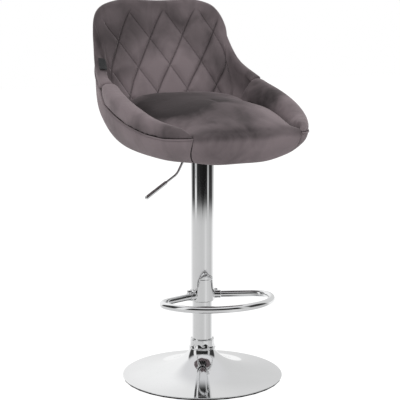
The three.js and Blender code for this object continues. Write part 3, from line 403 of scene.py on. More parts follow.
def sewn_lines(recipe):
    """The quilting's two families of lines, from the pad's own coordinates: the hollows, which the velvet uses for its
    bump and for painted shade in the channels, and the thread
    """
    around = recipe.attribute("around")
    fall = recipe.attribute("fall")
    held = recipe.attribute("sewn")
    pitch = sizes().quilt_pitch
    lean = pitch / sizes().quilt_rise
    square = math.cos(math.atan(lean))
    first = abs(((around - fall * lean) / pitch + 0.5).part() - 0.5) * (pitch * square)
    second = abs(((around + fall * lean) / pitch + 0.5).part() - 0.5) * (pitch * square)
    crisp = 1 - second.step(0.0006, 0.0036)
    soft = 1 - first.step(0.0005, 0.0030)
    hollow = crisp.most(soft * 0.5) * held
    along = (fall * (1.0 / square) * (2 * math.pi / 0.0042)).sine()
    thread = (1 - first.least(second).step(0.0004, 0.0012)) * along.step(-0.2, 0.5) * held
    return hollow, thread


# ---------------------------------------------------------------- the seat's skin

SEAT_HALF_WIDTH = 230.0
SEAT_REACH = 240.0
SEAT_HEIGHT = 352.0
SEAT_FLOOR = 545.0
SEAT_SHIFT = -4.0
FLOOR_RADIUS = 95.0
QUILT_SHIFT = 9.0
QUILT_DROP = 25.0
QUILT_TILT = 0.07
BACK_END = 374.0
FRONT_SEAM_SHARE = 0.838
BACK_PAD_DEPTH = 262.0
BACK_THICKNESS = 26.0
BACK_ROLL = 13.0
LUMBAR_SWELL = 14.0
PAD_BACK = 16.1
# The back pad's rounded foot, and the cloth that it hooks over the shell's edge
BACK_FOOT = 6
HOOK_DROP = 9.5
HOOK_CLOTH = 1.5
SQUARE_RIM = 30.0
WALL_DEPTH = 90.0
WAY_STEPS = 30
# How far the top of the back leans, and how its corners are drawn down and in
BACK_LEAN = 9
CORNER_DROP = 5
CORNER_DRAW = 3
LEAN_FROM = 770
CORNER_FROM = 800
BACK_TOP = 885

# Half rings from the middle of the back round to the front: shares of half width, reach and height
RIM = (
    (0.000, 1.004, 0.994), (0.465, 1.008, 1.000), (0.717, 0.992, 0.946), (0.809, 0.900, 0.767),
    (0.865, 0.696, 0.582), (0.957, 0.396, 0.466), (1.000, 0.037, 0.389), (0.965, -0.296, 0.324),
    (0.839, -0.596, 0.273), (0.652, -0.833, 0.230), (0.348, -0.917, 0.202), (0.000, -0.933, 0.193),
)
UPPER = (
    (0.000, 0.963, 0.787), (0.452, 0.963, 0.790), (0.713, 0.921, 0.750), (0.813, 0.821, 0.619),
    (0.887, 0.637, 0.457), (0.948, 0.379, 0.344), (0.978, 0.033, 0.270), (0.952, -0.296, 0.224),
    (0.852, -0.617, 0.188), (0.661, -0.838, 0.156), (0.357, -0.908, 0.131), (0.000, -0.925, 0.125),
)
BELLY = (
    (0.000, 0.887, 0.418), (0.430, 0.871, 0.418), (0.683, 0.812, 0.401), (0.813, 0.717, 0.341),
    (0.887, 0.562, 0.267), (0.917, 0.346, 0.196), (0.926, 0.033, 0.142), (0.900, -0.283, 0.116),
    (0.813, -0.583, 0.094), (0.630, -0.783, 0.077), (0.339, -0.854, 0.057), (0.000, -0.875, 0.048),
)
TURN = (
    (0.000, 0.713, 0.116), (0.357, 0.696, 0.119), (0.574, 0.633, 0.108), (0.683, 0.537, 0.091),
    (0.739, 0.400, 0.071), (0.761, 0.233, 0.051), (0.770, 0.017, 0.037), (0.743, -0.233, 0.023),
    (0.652, -0.471, 0.006), (0.491, -0.625, -0.003), (0.270, -0.704, -0.020), (0.000, -0.725, -0.020),
)
PIPING = (
    (0.000, 0.096), (0.330, 0.100), (0.415, 0.088), (0.445, 0.083), (0.483, 0.178),
    (0.615, 0.183), (0.712, 0.174), (0.765, 0.157), (0.835, 0.091), (1.000, 0.091),
)


def smooth(low, high, x):
    t = np.clip((np.asarray(x, float) - low) / (high - low), 0, 1)
    return t * t * (3 - 2 * t)


def spline(points, t, ring):
    """Even Catmull-Rom curve through the points, at each t from 0 to 1"""
    points = np.asarray(points, float)
    count = len(points)
    at = np.asarray(t, float) * (count if ring else count - 1)
    first = np.floor(at).astype(int)
    if not ring:
        first = np.minimum(first, count - 2)
        points = np.concatenate([[2 * points[0] - points[1]], points, [2 * points[-1] - points[-2]]])
        a, b, c, d = (points[first + k] for k in range(4))
    else:
        a, b, c, d = (points[(first + k) % count] for k in (-1, 0, 1, 2))
    w = (at - first).reshape(-1, *[1] * (points.ndim - 1))
    out, into = (c - a) / 2, (d - b) / 2
    return b + out * w + (3 * c - 3 * b - 2 * out - into) * w**2 + (2 * b - 2 * c + out + into) * w**3


class Skin:
    """The bucket's outer skin in millimetres: stations round the seat, and a way down from the rim at each"""

    def __init__(self, columns=851, cells=240):
        rings = [self.ring(shares) for shares in (TURN, BELLY, UPPER, RIM)]
        fine = np.linspace(0, 1, 8801)
        path = spline(rings[2], fine, True)
        run = np.concatenate([[0], np.cumsum(np.linalg.norm(np.diff(path, axis=0), axis=1))])
        self.girth = run[-1]
        self.turn = np.interp(np.linspace(0, self.girth, columns + 1)[:-1], run, fine)
        angle = 2 * np.pi * self.turn
        foot = np.stack([
            FLOOR_RADIUS * np.sin(angle), FLOOR_RADIUS * np.cos(angle) + SEAT_SHIFT, np.full(columns, SEAT_FLOOR),
        ], 1)
        knots = np.stack([foot] + [spline(r, self.turn, True) for r in rings])
        walls = spline(knots, np.linspace(0, 1, 401), False)[::-1]
        steps = np.linalg.norm(np.diff(walls, axis=0), axis=2)
        down = np.vstack([np.zeros(columns), np.cumsum(steps, axis=0)])
        self.length = down[-1]
        self.columns, self.cells = columns, cells
        share = np.linspace(0, 1, cells + 1)
        self.points = np.stack([
            np.stack([np.interp(share * down[-1, i], down[:, i], walls[:, i, k]) for k in range(3)], 1)
            for i in range(columns)
        ])
        self.ways = self.walk()

    def ring(self, shares):
        half = [(x * SEAT_HALF_WIDTH, y * SEAT_REACH + SEAT_SHIFT, SEAT_FLOOR + z * SEAT_HEIGHT) for x, y, z in shares]
        return np.array(half + [(-x, y, z) for x, y, z in half[-2:0:-1]])

    def wall_length(self, station):
        place = np.mod(station, self.girth) / self.girth * self.columns
        return np.interp(place, np.arange(self.columns + 1), np.append(self.length, self.length[0]))

    def at(self, station, down):
        """Points on the skin by station and distance down the wall"""
        place = np.mod(station, self.girth) / self.girth * self.columns
        i = np.floor(place).astype(int) % self.columns
        w = (place - np.floor(place))[..., None]
        row = np.clip(down / self.wall_length(station), 0, 1) * self.cells
        j = np.minimum(np.floor(row).astype(int), self.cells - 1)
        v = (row - j)[..., None]
        k = (i + 1) % self.columns
        upper = self.points[i, j] * (1 - w) + self.points[k, j] * w
        lower = self.points[i, j + 1] * (1 - w) + self.points[k, j + 1] * w
        return upper * (1 - v) + lower * v

    def slopes(self, station, down):
        safe = np.clip(down, 1.5, self.wall_length(station) - 1.5)
        around = (self.at(station + 3, safe) - self.at(station - 3, safe)) / 6
        falling = (self.at(station, safe + 1.5) - self.at(station, safe - 1.5)) / 3
        return around, falling

    def walk(self):
        """Ways down from the rim that start square to it and turn into the wall"""
        station = np.arange(self.columns + 1) * self.girth / self.columns
        down = np.zeros(self.columns + 1)
        ways = [(station, down)]
        step = WALL_DEPTH / WAY_STEPS
        for k in range(WAY_STEPS):
            around, falling = self.slopes(station, down)
            lean = (around * falling).sum(-1) / (around**2).sum(-1)
            square = np.linalg.norm(falling - around * lean[..., None], axis=-1)
            share = 1 - smooth(SQUARE_RIM, WALL_DEPTH, (k + 0.5) * step)
            station = station - share * step * lean / square
            down = down + step * (1 + share * (1 / square - 1))
            ways.append((station, down))
        return np.array(ways)

    def settle(self, station, down):
        """Where a distance down a station's way lies on the walls"""
        turns = np.floor(station / self.girth)
        place = np.mod(station, self.girth) / self.girth * self.columns
        i = np.minimum(np.floor(place).astype(int), self.columns - 1)
        w = place - i
        row = np.clip(down, 0, WALL_DEPTH) / WALL_DEPTH * WAY_STEPS
        j = np.minimum(np.floor(row).astype(int), WAY_STEPS - 1)
        v = row - j

        def read(k):
            table = self.ways[:, k]
            upper = table[j, i] * (1 - w) + table[j, i + 1] * w
            lower = table[j + 1, i] * (1 - w) + table[j + 1, i + 1] * w
            return upper * (1 - v) + lower * v

        to, deep = read(0) + turns * self.girth, read(1)
        rest = (self.wall_length(to) - deep) / (self.wall_length(station) - WALL_DEPTH)
        return to, np.where(down > WALL_DEPTH, deep + (down - WALL_DEPTH) * rest, deep)

    def point(self, station, inward, down):
        """Point at a station, a depth inward from the skin and a distance down from the rim"""
        station, inward, down = np.broadcast_arrays(*(np.asarray(x, float) for x in (station, inward, down)))
        to, deep = self.settle(station, down)
        around, falling = self.slopes(to, deep)
        normal = np.cross(falling, around)
        normal /= np.linalg.norm(normal, axis=-1)[..., None]
        over = np.cross(around, normal)
        over /= np.linalg.norm(over, axis=-1)[..., None]
        points = self.at(to, deep) + normal * inward[..., None] + over * np.minimum(down, 0)[..., None]
        corner = smooth(90, 160, np.abs(points[..., 0])) * smooth(CORNER_FROM, BACK_TOP, points[..., 2])
        corner = corner * smooth(16, 3, down)
        points[..., 1] += BACK_LEAN * smooth(LEAN_FROM, BACK_TOP, points[..., 2])
        points[..., 2] -= CORNER_DROP * corner
        points[..., 0] -= CORNER_DRAW * corner * np.sign(points[..., 0])
        return points

    def depth_at(self, station, height):
        """Distance down from the rim at which the skin is a height below the top of the back"""
        low, high = np.zeros_like(station), self.wall_length(station)
        for _ in range(18):
            middle = (low + high) / 2
            above = SEAT_FLOOR + SEAT_HEIGHT - self.point(station, 0 * station, middle)[..., 2] < height
            low, high = np.where(above, middle, low), np.where(above, high, middle)
        return (low + high) / 2

    def half_share(self, station):
        half = self.girth / 2
        return np.minimum(np.abs(station), self.girth - np.abs(station)) / half

    def piping_drop(self, station):
        table = np.array(PIPING)
        return np.interp(self.half_share(station), table[:, 0], table[:, 1]) * SEAT_HALF_WIDTH


skin = Skin()
FRONT_SEAM = skin.girth / 2 * FRONT_SEAM_SHARE


# ---------------------------------------------------------------- making pieces

def dress(piece, material, body, node):
    """Gives a piece its finish, its body and the CAD node that it stands for"""
    piece.data.materials.clear()
    piece.data.materials.append(material)
    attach(piece, body)
    if node:
        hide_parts(node)
    return piece


def object_from(name, shape, material, body, node, sharp=None):
    """Turns a bmesh into a piece that rides on a body"""
    mesh = bpy.data.meshes.new(name)
    shape.to_mesh(mesh)
    shape.free()
    mesh.shade_smooth()
    if sharp is not None:
        mesh.set_sharp_from_angle(angle=math.radians(sharp))
    piece = bpy.data.objects.new(name, mesh)
    bpy.context.scene.collection.objects.link(piece)
    return dress(piece, material, body, node)


def rounded(profile, radius, steps=4):
    """A closed profile of [radius, height] pairs with its corners rounded; a corner may give its own radius"""
    points = [Vector(p[:2]) for p in profile]
    result = []
    for i, corner in enumerate(points):
        own = profile[i][2] if len(profile[i]) > 2 else radius
        before, after = points[i - 1], points[(i + 1) % len(points)]
        if own <= 0:
            result.append(corner)
            continue
        reach = min(own, (before - corner).length * 0.45, (after - corner).length * 0.45)
        start = corner.lerp(before, reach / (before - corner).length)
        end = corner.lerp(after, reach / (after - corner).length)
        for k in range(steps + 1):
            t = k / steps
            result.append(start.lerp(corner, t).lerp(corner.lerp(end, t), t))
    return result


def spun(profile, sides=144):
    """Turned shape: a closed profile of [radius, height] pairs in millimetres, spun round the column's axis"""
    shape = bmesh.new()
    verts = [shape.verts.new((r * MM, 0, z * MM)) for r, z in profile]
    edges = [shape.edges.new((a, verts[(i + 1) % len(verts)])) for i, a in enumerate(verts)]
    bmesh.ops.spin(
        shape, geom=verts + edges, cent=(0, 0, 0), axis=(0, 0, 1), angle=2 * math.pi, steps=sides, use_merge=True,
        use_duplicate=False,
    )
    bmesh.ops.remove_doubles(shape, verts=shape.verts[:], dist=1e-7)
    bmesh.ops.dissolve_degenerate(shape, edges=shape.edges[:], dist=1e-7)
    bmesh.ops.recalc_face_normals(shape, faces=shape.faces[:])
    return shape


def bent_sheet(columns, rows, place):
    """A closed tube from a grid bent by place(u, v), with u and v from 0 to 1 and its two long edges joined.
    place returns points in millimetres and a dict of attributes"""
    shape = bmesh.new()
    bmesh.ops.create_grid(shape, x_segments=columns, y_segments=rows, size=0.5)
    shape.verts.ensure_lookup_table()
    flat = np.array([v.co[:2] for v in shape.verts]) + 0.5
    flat = (flat - flat.min(0)) / (flat.max(0) - flat.min(0))
    points, marks = place(flat[:, 0], flat[:, 1])
    layers = {name: shape.verts.layers.float.new(name) for name in marks}
    for i, v in enumerate(shape.verts):
        v.co = points[i] * MM
        for name, layer in layers.items():
            v[layer] = marks[name][i]
    bmesh.ops.remove_doubles(shape, verts=shape.verts[:], dist=2e-6)
    bmesh.ops.holes_fill(shape, edges=[e for e in shape.edges if e.is_boundary], sides=0)
    bmesh.ops.triangulate(shape, faces=[f for f in shape.faces if len(f.verts) > 4])
    bmesh.ops.recalc_face_normals(shape, faces=shape.faces[:])
    return shape


def runs(v, station, *parts):
    """Closed section from parts of (rows, function of a share t and the station giving inward and down)"""
    rows = np.cumsum([0] + [p[0] for p in parts])
    row = v * rows[-1]
    part = np.clip(np.searchsorted(rows, row + 1e-6, side="right") - 1, 0, len(parts) - 1)
    inward, down = np.zeros(len(v)), np.zeros(len(v))
    share = (row - rows[part]) / np.diff(rows)[part]
    for k, (_, shape) in enumerate(parts):
        here = part == k
        n, d = shape(share[here], station[here])
        inward[here], down[here] = n, d
    return part, share, inward, down


def slab(start, end, end_depth):
    """Thick stand-in for a pad's thin cloth where it hooks over the shell's edge, so that remeshing keeps it"""
    def place(u, v):
        station = start + (end - start) * u
        low = end_depth(station)
        t = np.where(v < 0.5, 2 * v, 2 - 2 * v)
        tip = np.minimum(1, (1 - t) * 6) ** 0.5
        n = np.where(v < 0.5, 0.0, 9.0 * tip)
        n = np.where((v == 0) | (v == 1), 4.5, n)
        return skin.point(station, n, 9 + (low - 9) * t), {}

    return bent_sheet(max(12, int(abs(end - start) / 5)), 48, place)


def wing_end(side):
    """The wing's roll carried on to its seam with the back pad"""
    def place(u, v):
        station = side * (BACK_END + 0.7 + 24 * u)
        inner, depth = 64.0, 80.0
        _, _, n, d = runs(
            v, station,
            (12, lambda t, s: crown_point(44, 18, np.pi * t)),
            (6, lambda t, s: (44 + 20 * t, 18 + (depth - 18) * t)),
            (6, lambda t, s: (inner + (PAD_BACK - inner) * t, depth + 0 * t)),
            (6, lambda t, s: (PAD_BACK + 0 * t, depth + (20 - depth) * t)),
            (4, lambda t, s: (PAD_BACK * (1 - t), 20 - 2 * t)),
        )
        close = np.sqrt(1 - (1 - np.minimum(u * 24 / 8, 1)) ** 2)
        middle_n, middle_d = 26.0, 30.0
        n = middle_n + (n - middle_n) * (0.82 + 0.18 * close)
        d = middle_d + (d - middle_d) * (0.86 + 0.14 * close)
        return skin.point(station, n, d), {}

    return bent_sheet(12, 34, place)


def joined(*shapes):
    """One bmesh of several"""
    whole = shapes[0]
    for other in shapes[1:]:
        mesh = bpy.data.meshes.new("joined")
        other.to_mesh(mesh)
        other.free()
        whole.from_mesh(mesh)
        bpy.data.meshes.remove(mesh)
    return whole


def tube(name, path, radius, sides=24):
    """Round bar along a path of points in millimetres, made a mesh with closed ends"""
    curve = bpy.data.curves.new(name, "CURVE")
    curve.dimensions = "3D"
    curve.bevel_depth = radius * MM
    curve.bevel_resolution = sides // 4 - 1
    curve.use_fill_caps = True
    line = curve.splines.new("POLY")
    line.points.add(len(path) - 1)
    for point, place in zip(line.points, path):
        point.co = (*(Vector(place) * MM), 1)
    maker = bpy.data.objects.new(name, curve)
    mesh = bpy.data.meshes.new_from_object(maker)
    shape = bmesh.new()
    shape.from_mesh(mesh)
    bpy.data.objects.remove(maker)
    bpy.data.meshes.remove(mesh)
    bpy.data.curves.remove(curve)
    bmesh.ops.remove_doubles(shape, verts=shape.verts[:], dist=1e-6)
    bmesh.ops.recalc_face_normals(shape, faces=shape.faces[:])
    return shape


def bent_path(points, bend, steps=10):
    """Straight runs whose corners are rounded by a bend"""
    path = [Vector(points[0])]
    last = Vector(points[0])
    for corner, after in zip(points[1:-1], points[2:]):
        corner, after = Vector(corner), Vector(after)
        start = corner.lerp(last, bend / (corner - last).length)
        end = corner.lerp(after, bend / (after - corner).length)
        path += [start.lerp(corner, t / steps).lerp(corner.lerp(end, t / steps), t / steps) for t in range(steps + 1)]
        last = end
    return path + [Vector(points[-1])]


def node_copy(node):
    """A merged copy of a CAD node's mesh"""
    shape = bmesh.new()
    shape.from_mesh(frame["nodes"][node].data)
    bmesh.ops.remove_doubles(shape, verts=shape.verts[:], dist=1e-6)
    return shape


def remeshed(name, shape, voxel, rounds):
    """Even cells in place of long faces, then softened"""
    mesh = bpy.data.meshes.new(name)
    shape.to_mesh(mesh)
    shape.free()
    piece = bpy.data.objects.new(name, mesh)
    bpy.context.scene.collection.objects.link(piece)
    even = piece.modifiers.new("even cells", "REMESH")
    even.mode = "VOXEL"
    even.voxel_size = voxel
    apply_modifiers(piece)
    soften(piece, rounds)
    return piece


def apply_modifiers(piece):
    """Leaves the piece with the mesh that its modifiers make"""
    evaluated = piece.evaluated_get(bpy.context.evaluated_depsgraph_get())
    mesh = bpy.data.meshes.new_from_object(evaluated)
    old = piece.data
    piece.modifiers.clear()
    piece.data = mesh
    mesh.name = piece.name
    if old.users == 0:
        bpy.data.meshes.remove(old)


def coordinates(mesh):
    co = np.empty(len(mesh.vertices) * 3)
    mesh.vertices.foreach_get("co", co)
    return co.reshape(-1, 3)


STUFFING_PRESSURE = 4.0
STUFFING_FRAMES = 20


def blow_up(piece, swell, free):
    """Fills a pad with a little pressure, and keeps every point within its own share of the swell"""
    start = coordinates(piece.data)
    cloth = piece.modifiers.new("stuffing", "CLOTH")
    settings = cloth.settings
    settings.quality = 5
    settings.use_pressure = True
    settings.uniform_pressure_force = STUFFING_PRESSURE
    settings.effector_weights.gravity = 0
    settings.tension_stiffness = settings.compression_stiffness = 15
    settings.shear_stiffness = 5
    settings.bending_stiffness = 0.5
    cloth.collision_settings.use_collision = False
    cloth.point_cache.frame_start = 1
    cloth.point_cache.frame_end = STUFFING_FRAMES
    pins = piece.vertex_groups.new(name="sewn down")
    for i, share in enumerate(free):
        if share < 1:
            pins.add([i], 1 - float(share), "REPLACE")
    settings.vertex_group_mass = pins.name
    scene = bpy.context.scene
    for number in range(1, STUFFING_FRAMES + 1):
        scene.frame_set(number)
    evaluated = piece.evaluated_get(bpy.context.evaluated_depsgraph_get())
    move = coordinates(evaluated.to_mesh()) - start
    evaluated.to_mesh_clear()
    piece.modifiers.clear()
    piece.vertex_groups.clear()
    scene.frame_set(1)
    length = np.linalg.norm(move, axis=1)
    move *= np.minimum(1, swell * free / np.maximum(length, 1e-9))[:, None]
    piece.data.vertices.foreach_set("co", (start + move).ravel())
    piece.data.update()


def soften(piece, rounds, chosen=lambda co: True):
    """Irons out the points that chosen picks by their place, or all"""
    shape = bmesh.new()
    shape.from_mesh(piece.data)
    verts = [v for v in shape.verts if chosen(v.co)]
    for _ in range(rounds):
        bmesh.ops.smooth_vert(shape, verts=verts, factor=0.5, use_axis_x=True, use_axis_y=True, use_axis_z=True)
    shape.to_mesh(piece.data)
    shape.free()


def loose_share(piece):
    """How free each point of a pad is to swell: none where its cloth lies on the shell's outside"""
    tree = kdtree.KDTree(120 * 24)
    for i, station in enumerate(np.linspace(0, skin.girth, 121)[:-1]):
        depths = np.linspace(24, skin.wall_length(station), 24)
        for k, place in enumerate(skin.point(station + 0 * depths, 2.0, depths)):
            tree.insert(Vector(place * MM), i * 24 + k)
    tree.balance()
    distances = np.array([tree.find(co)[2] for co in coordinates(piece.data)]) / MM
    return smooth(15, 32, distances)


def subdivided(piece):
    finer = piece.modifiers.new("finer", "SUBSURF")
    finer.levels = finer.render_levels = 1
    apply_modifiers(piece)
    piece.data.shade_smooth()


def padded(piece, node, material):
    dress(piece, material, "seat", node)


def eased(shape, offset, verts=None):
    """Rounds off the sharp edges of a bmesh, or only those at some of its points"""
    chosen = set(verts or shape.verts)
    edges = [
        e for e in shape.edges if e.verts[0] in chosen and len(e.link_faces) == 2 and e.calc_face_angle() > 1
    ]
    bmesh.ops.bevel(shape, geom=edges, offset=offset, segments=2, profile=0.5, affect="EDGES", material=-1)


# ---------------------------------------------------------------- base and column

NECK_RADIUS = 31.0
NECK_HEIGHT = 69.0
BASE_RADIUS = 192.5
RIM_EDGE = 2.4
FLOOR_RING = 3.0
FIT = 0.3
STAND_TUBE = 24.5


def flare(t, depth=0.0):
    """The base's outline: one curve from the neck to the rim, and the same set in by a depth"""
    knots = [
        Vector((NECK_RADIUS, NECK_HEIGHT)), Vector((NECK_RADIUS + RIM_EDGE, NECK_HEIGHT - 24)),
        Vector((92, 13)), Vector((BASE_RADIUS - RIM_EDGE, FLOOR_RING + RIM_EDGE + FIT)),
    ]
    a, b, c, d = knots
    point = a * (1 - t)**3 + b * 3 * t * (1 - t)**2 + c * 3 * t * t * (1 - t) + d * t**3
    along = ((b - a) * (1 - t)**2 + (c - b) * 2 * t * (1 - t) + (d - c) * t * t).normalized()
    return (point.x + along.y * depth, point.y - along.x * depth)


class STOOL_OT_base(bpy.types.Operator):
    """Spins the chromed trumpet base and its rosette"""

    bl_idname = "stool.base"
    bl_label = "Base"

    def execute(self, context):
        chrome = polished_chrome("base chrome", 0.045)
        count = 72
        outside = [flare(i / count) for i in range(count + 1)]
        inside = [flare(i / count, 2.0) for i in range(count, -1, -1)]
        edge = FLOOR_RING + FIT
        lip = [
            (BASE_RADIUS - RIM_EDGE + RIM_EDGE * math.sin(a), edge + RIM_EDGE * (1 + math.cos(a)) / 2)
            for a in (math.radians(x) for x in range(15, 180, 15))
        ]
        hole = STAND_TUBE + FIT
        neck = [(hole, NECK_HEIGHT - 0.4), (hole + 0.4, NECK_HEIGHT), (NECK_RADIUS - 0.9, NECK_HEIGHT)]
        neck += [(NECK_RADIUS - 0.25, NECK_HEIGHT - 0.2)]
        profile = neck + outside[1:] + lip + [(BASE_RADIUS - RIM_EDGE, edge)] + inside + [(hole, NECK_HEIGHT - 2)]
        object_from("trumpet_base", spun(profile, 192), chrome, "base", "base_shell", 50)

        low = NECK_HEIGHT + FIT
        rosette = rounded([
            (hole, low), (32.5, low), (32.5, low + 3), (31.0, low + 4.4), (30.0, low + 8, 3), (29.3, low + 16, 3),
            (29.2, low + 24, 1.6), (hole, low + 24),
        ], 0.9, 5)
        uneven = polished_chrome("rosette chrome", 0.04, ripple=0.0034)
        object_from("column_rosette", spun(rosette, 144), uneven, "base", "base_collar", 40)
        return {"FINISHED"}


# Streaks of painted shade and painted reflection of the seat on the upper column: degrees round the column, half width
# at the top, and height of the foot
COLUMN_PAINTED_SHADE = (
    (-64, 0.0050, 0.392), (-29, 0.0030, 0.434), (2, 0.0100, 0.394), (57, 0.0065, 0.368), (95, 0.0050, 0.405),
    (128, 0.0090, 0.384), (165, 0.0040, 0.430), (-160, 0.0090, 0.398), (-118, 0.0050, 0.415), (-92, 0.0040, 0.380),
)


class STOOL_OT_column(bpy.types.Operator):
    """Spins the lower tube and the wider tube that slides over it"""

    bl_idname = "stool.column"
    bl_label = "Column"

    def execute(self, context):
        chrome = polished_chrome("column chrome", 0.05)
        low, high = (c.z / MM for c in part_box("stand_tube"))
        lower = spun(tube_wall(22.5, STAND_TUBE, low, high, 0.5))
        object_from("lower_column", lower, chrome, "base", "stand_tube", 40)
        low, high = (c.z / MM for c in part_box("cover_tube"))
        # The upper column's chrome carries painted shade and painted reflection of the seat
        shaded_chrome = polished_chrome("upper column chrome with painted shade", 0.05, COLUMN_PAINTED_SHADE)
        upper = spun(tube_wall(25.8, COVER_TUBE, low, high, 0.4))
        object_from("upper_column", upper, shaded_chrome, "seat", "cover_tube", 40)
        return {"FINISHED"}


def tube_wall(inner, outer, low, high, edge):
    """A tube's section with rounded ends, and rows beside them that keep its sides straight"""
    near = 4 * edge
    return rounded([
        (inner, low), (outer, low), (outer, low + near, 0), (outer, high - near, 0), (outer, high), (inner, high),
        (inner, high - near, 0), (inner, low + near, 0),
    ], edge, 3)


# ---------------------------------------------------------------- footrest and lever

FOOT_TURN = Matrix.Rotation(math.radians(-6), 4, "Z")
FOOT_TILT = 4.2
LOOP_HALF_WIDTH = 133.0
LOOP_REACH = 209.0
LOOP_HEIGHT = 202.0
LOOP_TUBE = 8.0
LOOP_CORNER = 34.0
ARM_SLOPE = math.tan(math.radians(24.5))
# Where the left arm starts, and the depth and half width of the casting's sockets
SOCKET = (-41, -13, 29.6)
CASTING_VOXEL = 0.0009


class STOOL_OT_footrest(bpy.types.Operator):
    """Bends the footrest's tube and casts its clamp"""

    bl_idname = "stool.footrest"
    bl_label = "Footrest"

    def execute(self, context):
        chrome = polished_chrome("footrest chrome", 0.05)
        half, height = LOOP_HALF_WIDTH, LOOP_HEIGHT
        socket, depth, width = SOCKET

        def arm(x):
            return Vector((x, depth - (abs(x) - width) * ARM_SLOPE, height))

        arc = [
            Vector((-half * math.cos(a), -(LOOP_REACH - half) - half * math.sin(a), height))
            for a in (math.pi * i / 72 for i in range(3, 70))
        ]
        start, turn = arm(socket), arm(-half)
        into = turn.lerp(start, LOOP_CORNER / (turn - start).length)
        bend = [into.lerp(turn, t / 12).lerp(turn.lerp(arc[0], t / 12), t / 12) for t in range(12)]
        left = [start.lerp(into, t / 6) for t in range(6)] + bend
        path = left + arc + [Vector((-p.x, p.y, p.z)) for p in reversed(left)]
        hinge = Matrix.Translation((0, path[0].y, height))
        tilt = hinge @ Matrix.Rotation(math.radians(-FOOT_TILT), 4, "X") @ hinge.inverted()
        ring = tube("loop", [FOOT_TURN @ tilt @ p for p in path], LOOP_TUBE, 32)
        object_from("footrest_ring", ring, chrome, "seat", "footrest_loop", 50)
        for name, node in (("footrest_casting", "footrest_saddle"), ("footrest_rear_clamp", "footrest_clamp")):
            piece = remeshed(name, node_copy(node), CASTING_VOXEL, 5)
            piece.data.shade_smooth()
            dress(piece, chrome, "seat", node)
        return {"FINISHED"}


class STOOL_OT_lever(bpy.types.Operator):
    """Bends the height lever and turns its knob"""

    bl_idname = "stool.lever"
    bl_label = "Height lever"

    def execute(self, context):
        chrome = polished_chrome("lever chrome", 0.09)
        low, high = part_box("lever_pin")
        pin = (low + high) / 2 / MM
        height = pin.z
        start = Vector((-95.4, 0, height - 58.5))
        end = Vector((-150.6, 0, height - 93.3))
        path = bent_path([(4, 0, height), (-45, 0, height), (-67.5, 0, height - 41), start.lerp(end, 0.75)], 9)
        rod = tube("rod", path, 3.0, 20)
        eye = bmesh.ops.create_cone(
            rod, cap_ends=True, segments=28, radius1=0.0047, radius2=0.0047, depth=0.010,
            matrix=Matrix.Translation(pin * MM) @ Matrix.Rotation(math.pi / 2, 4, "X"),
        )
        eased(rod, 0.0005, eye["verts"])
        object_from("lever_bar", rod, chrome, "lever", "lever_rod", 40)

        length = (end - start).length
        profile = rounded([
            (3.3, 0, 0), (4.1, 0), (4.7, 2.2), (4.8, length * 0.3), (5.0, length - 9), (4.9, length - 3.2, 2.2),
            (0.01, length, 0), (0.01, length * 0.75, 0), (3.3, length * 0.75, 0),
        ], 0.7, 4)
        knob = spun(profile, 40)
        tilt = Vector((0, 0, 1)).rotation_difference(end - start).to_matrix().to_4x4()
        bmesh.ops.transform(knob, matrix=Matrix.Translation(start * MM) @ tilt, verts=knob.verts[:])
        object_from("lever_knob", knob, chrome, "lever", "lever_grip", 45)
        return {"FINISHED"}


# ---------------------------------------------------------------- upholstery

CROWN_SQUARE = 0.62
TOP = SEAT_FLOOR + SEAT_HEIGHT


def crown_point(thickness, height, angle, lift=0.0):
    """A roll's rounded top, squarer on its outer half; a lift moves it outward"""
    square = np.where(angle < np.pi / 2, CROWN_SQUARE, 1.0)
    across = np.sign(np.cos(angle)) * np.abs(np.cos(angle)) ** square
    rise = np.abs(np.sin(angle)) ** square
    return thickness / 2 - (thickness / 2 + lift) * across, height - (height + lift) * rise


def line_distance(around, fall, sign):
    """Distance in millimetres from a family of quilted lines"""
    pitch, rise = sizes().quilt_pitch / MM, sizes().quilt_rise / MM
    phase = (around + sign * fall * pitch / rise) / pitch
    return np.abs((phase + 0.5) % 1 - 0.5) * pitch * math.cos(math.atan(pitch / rise))


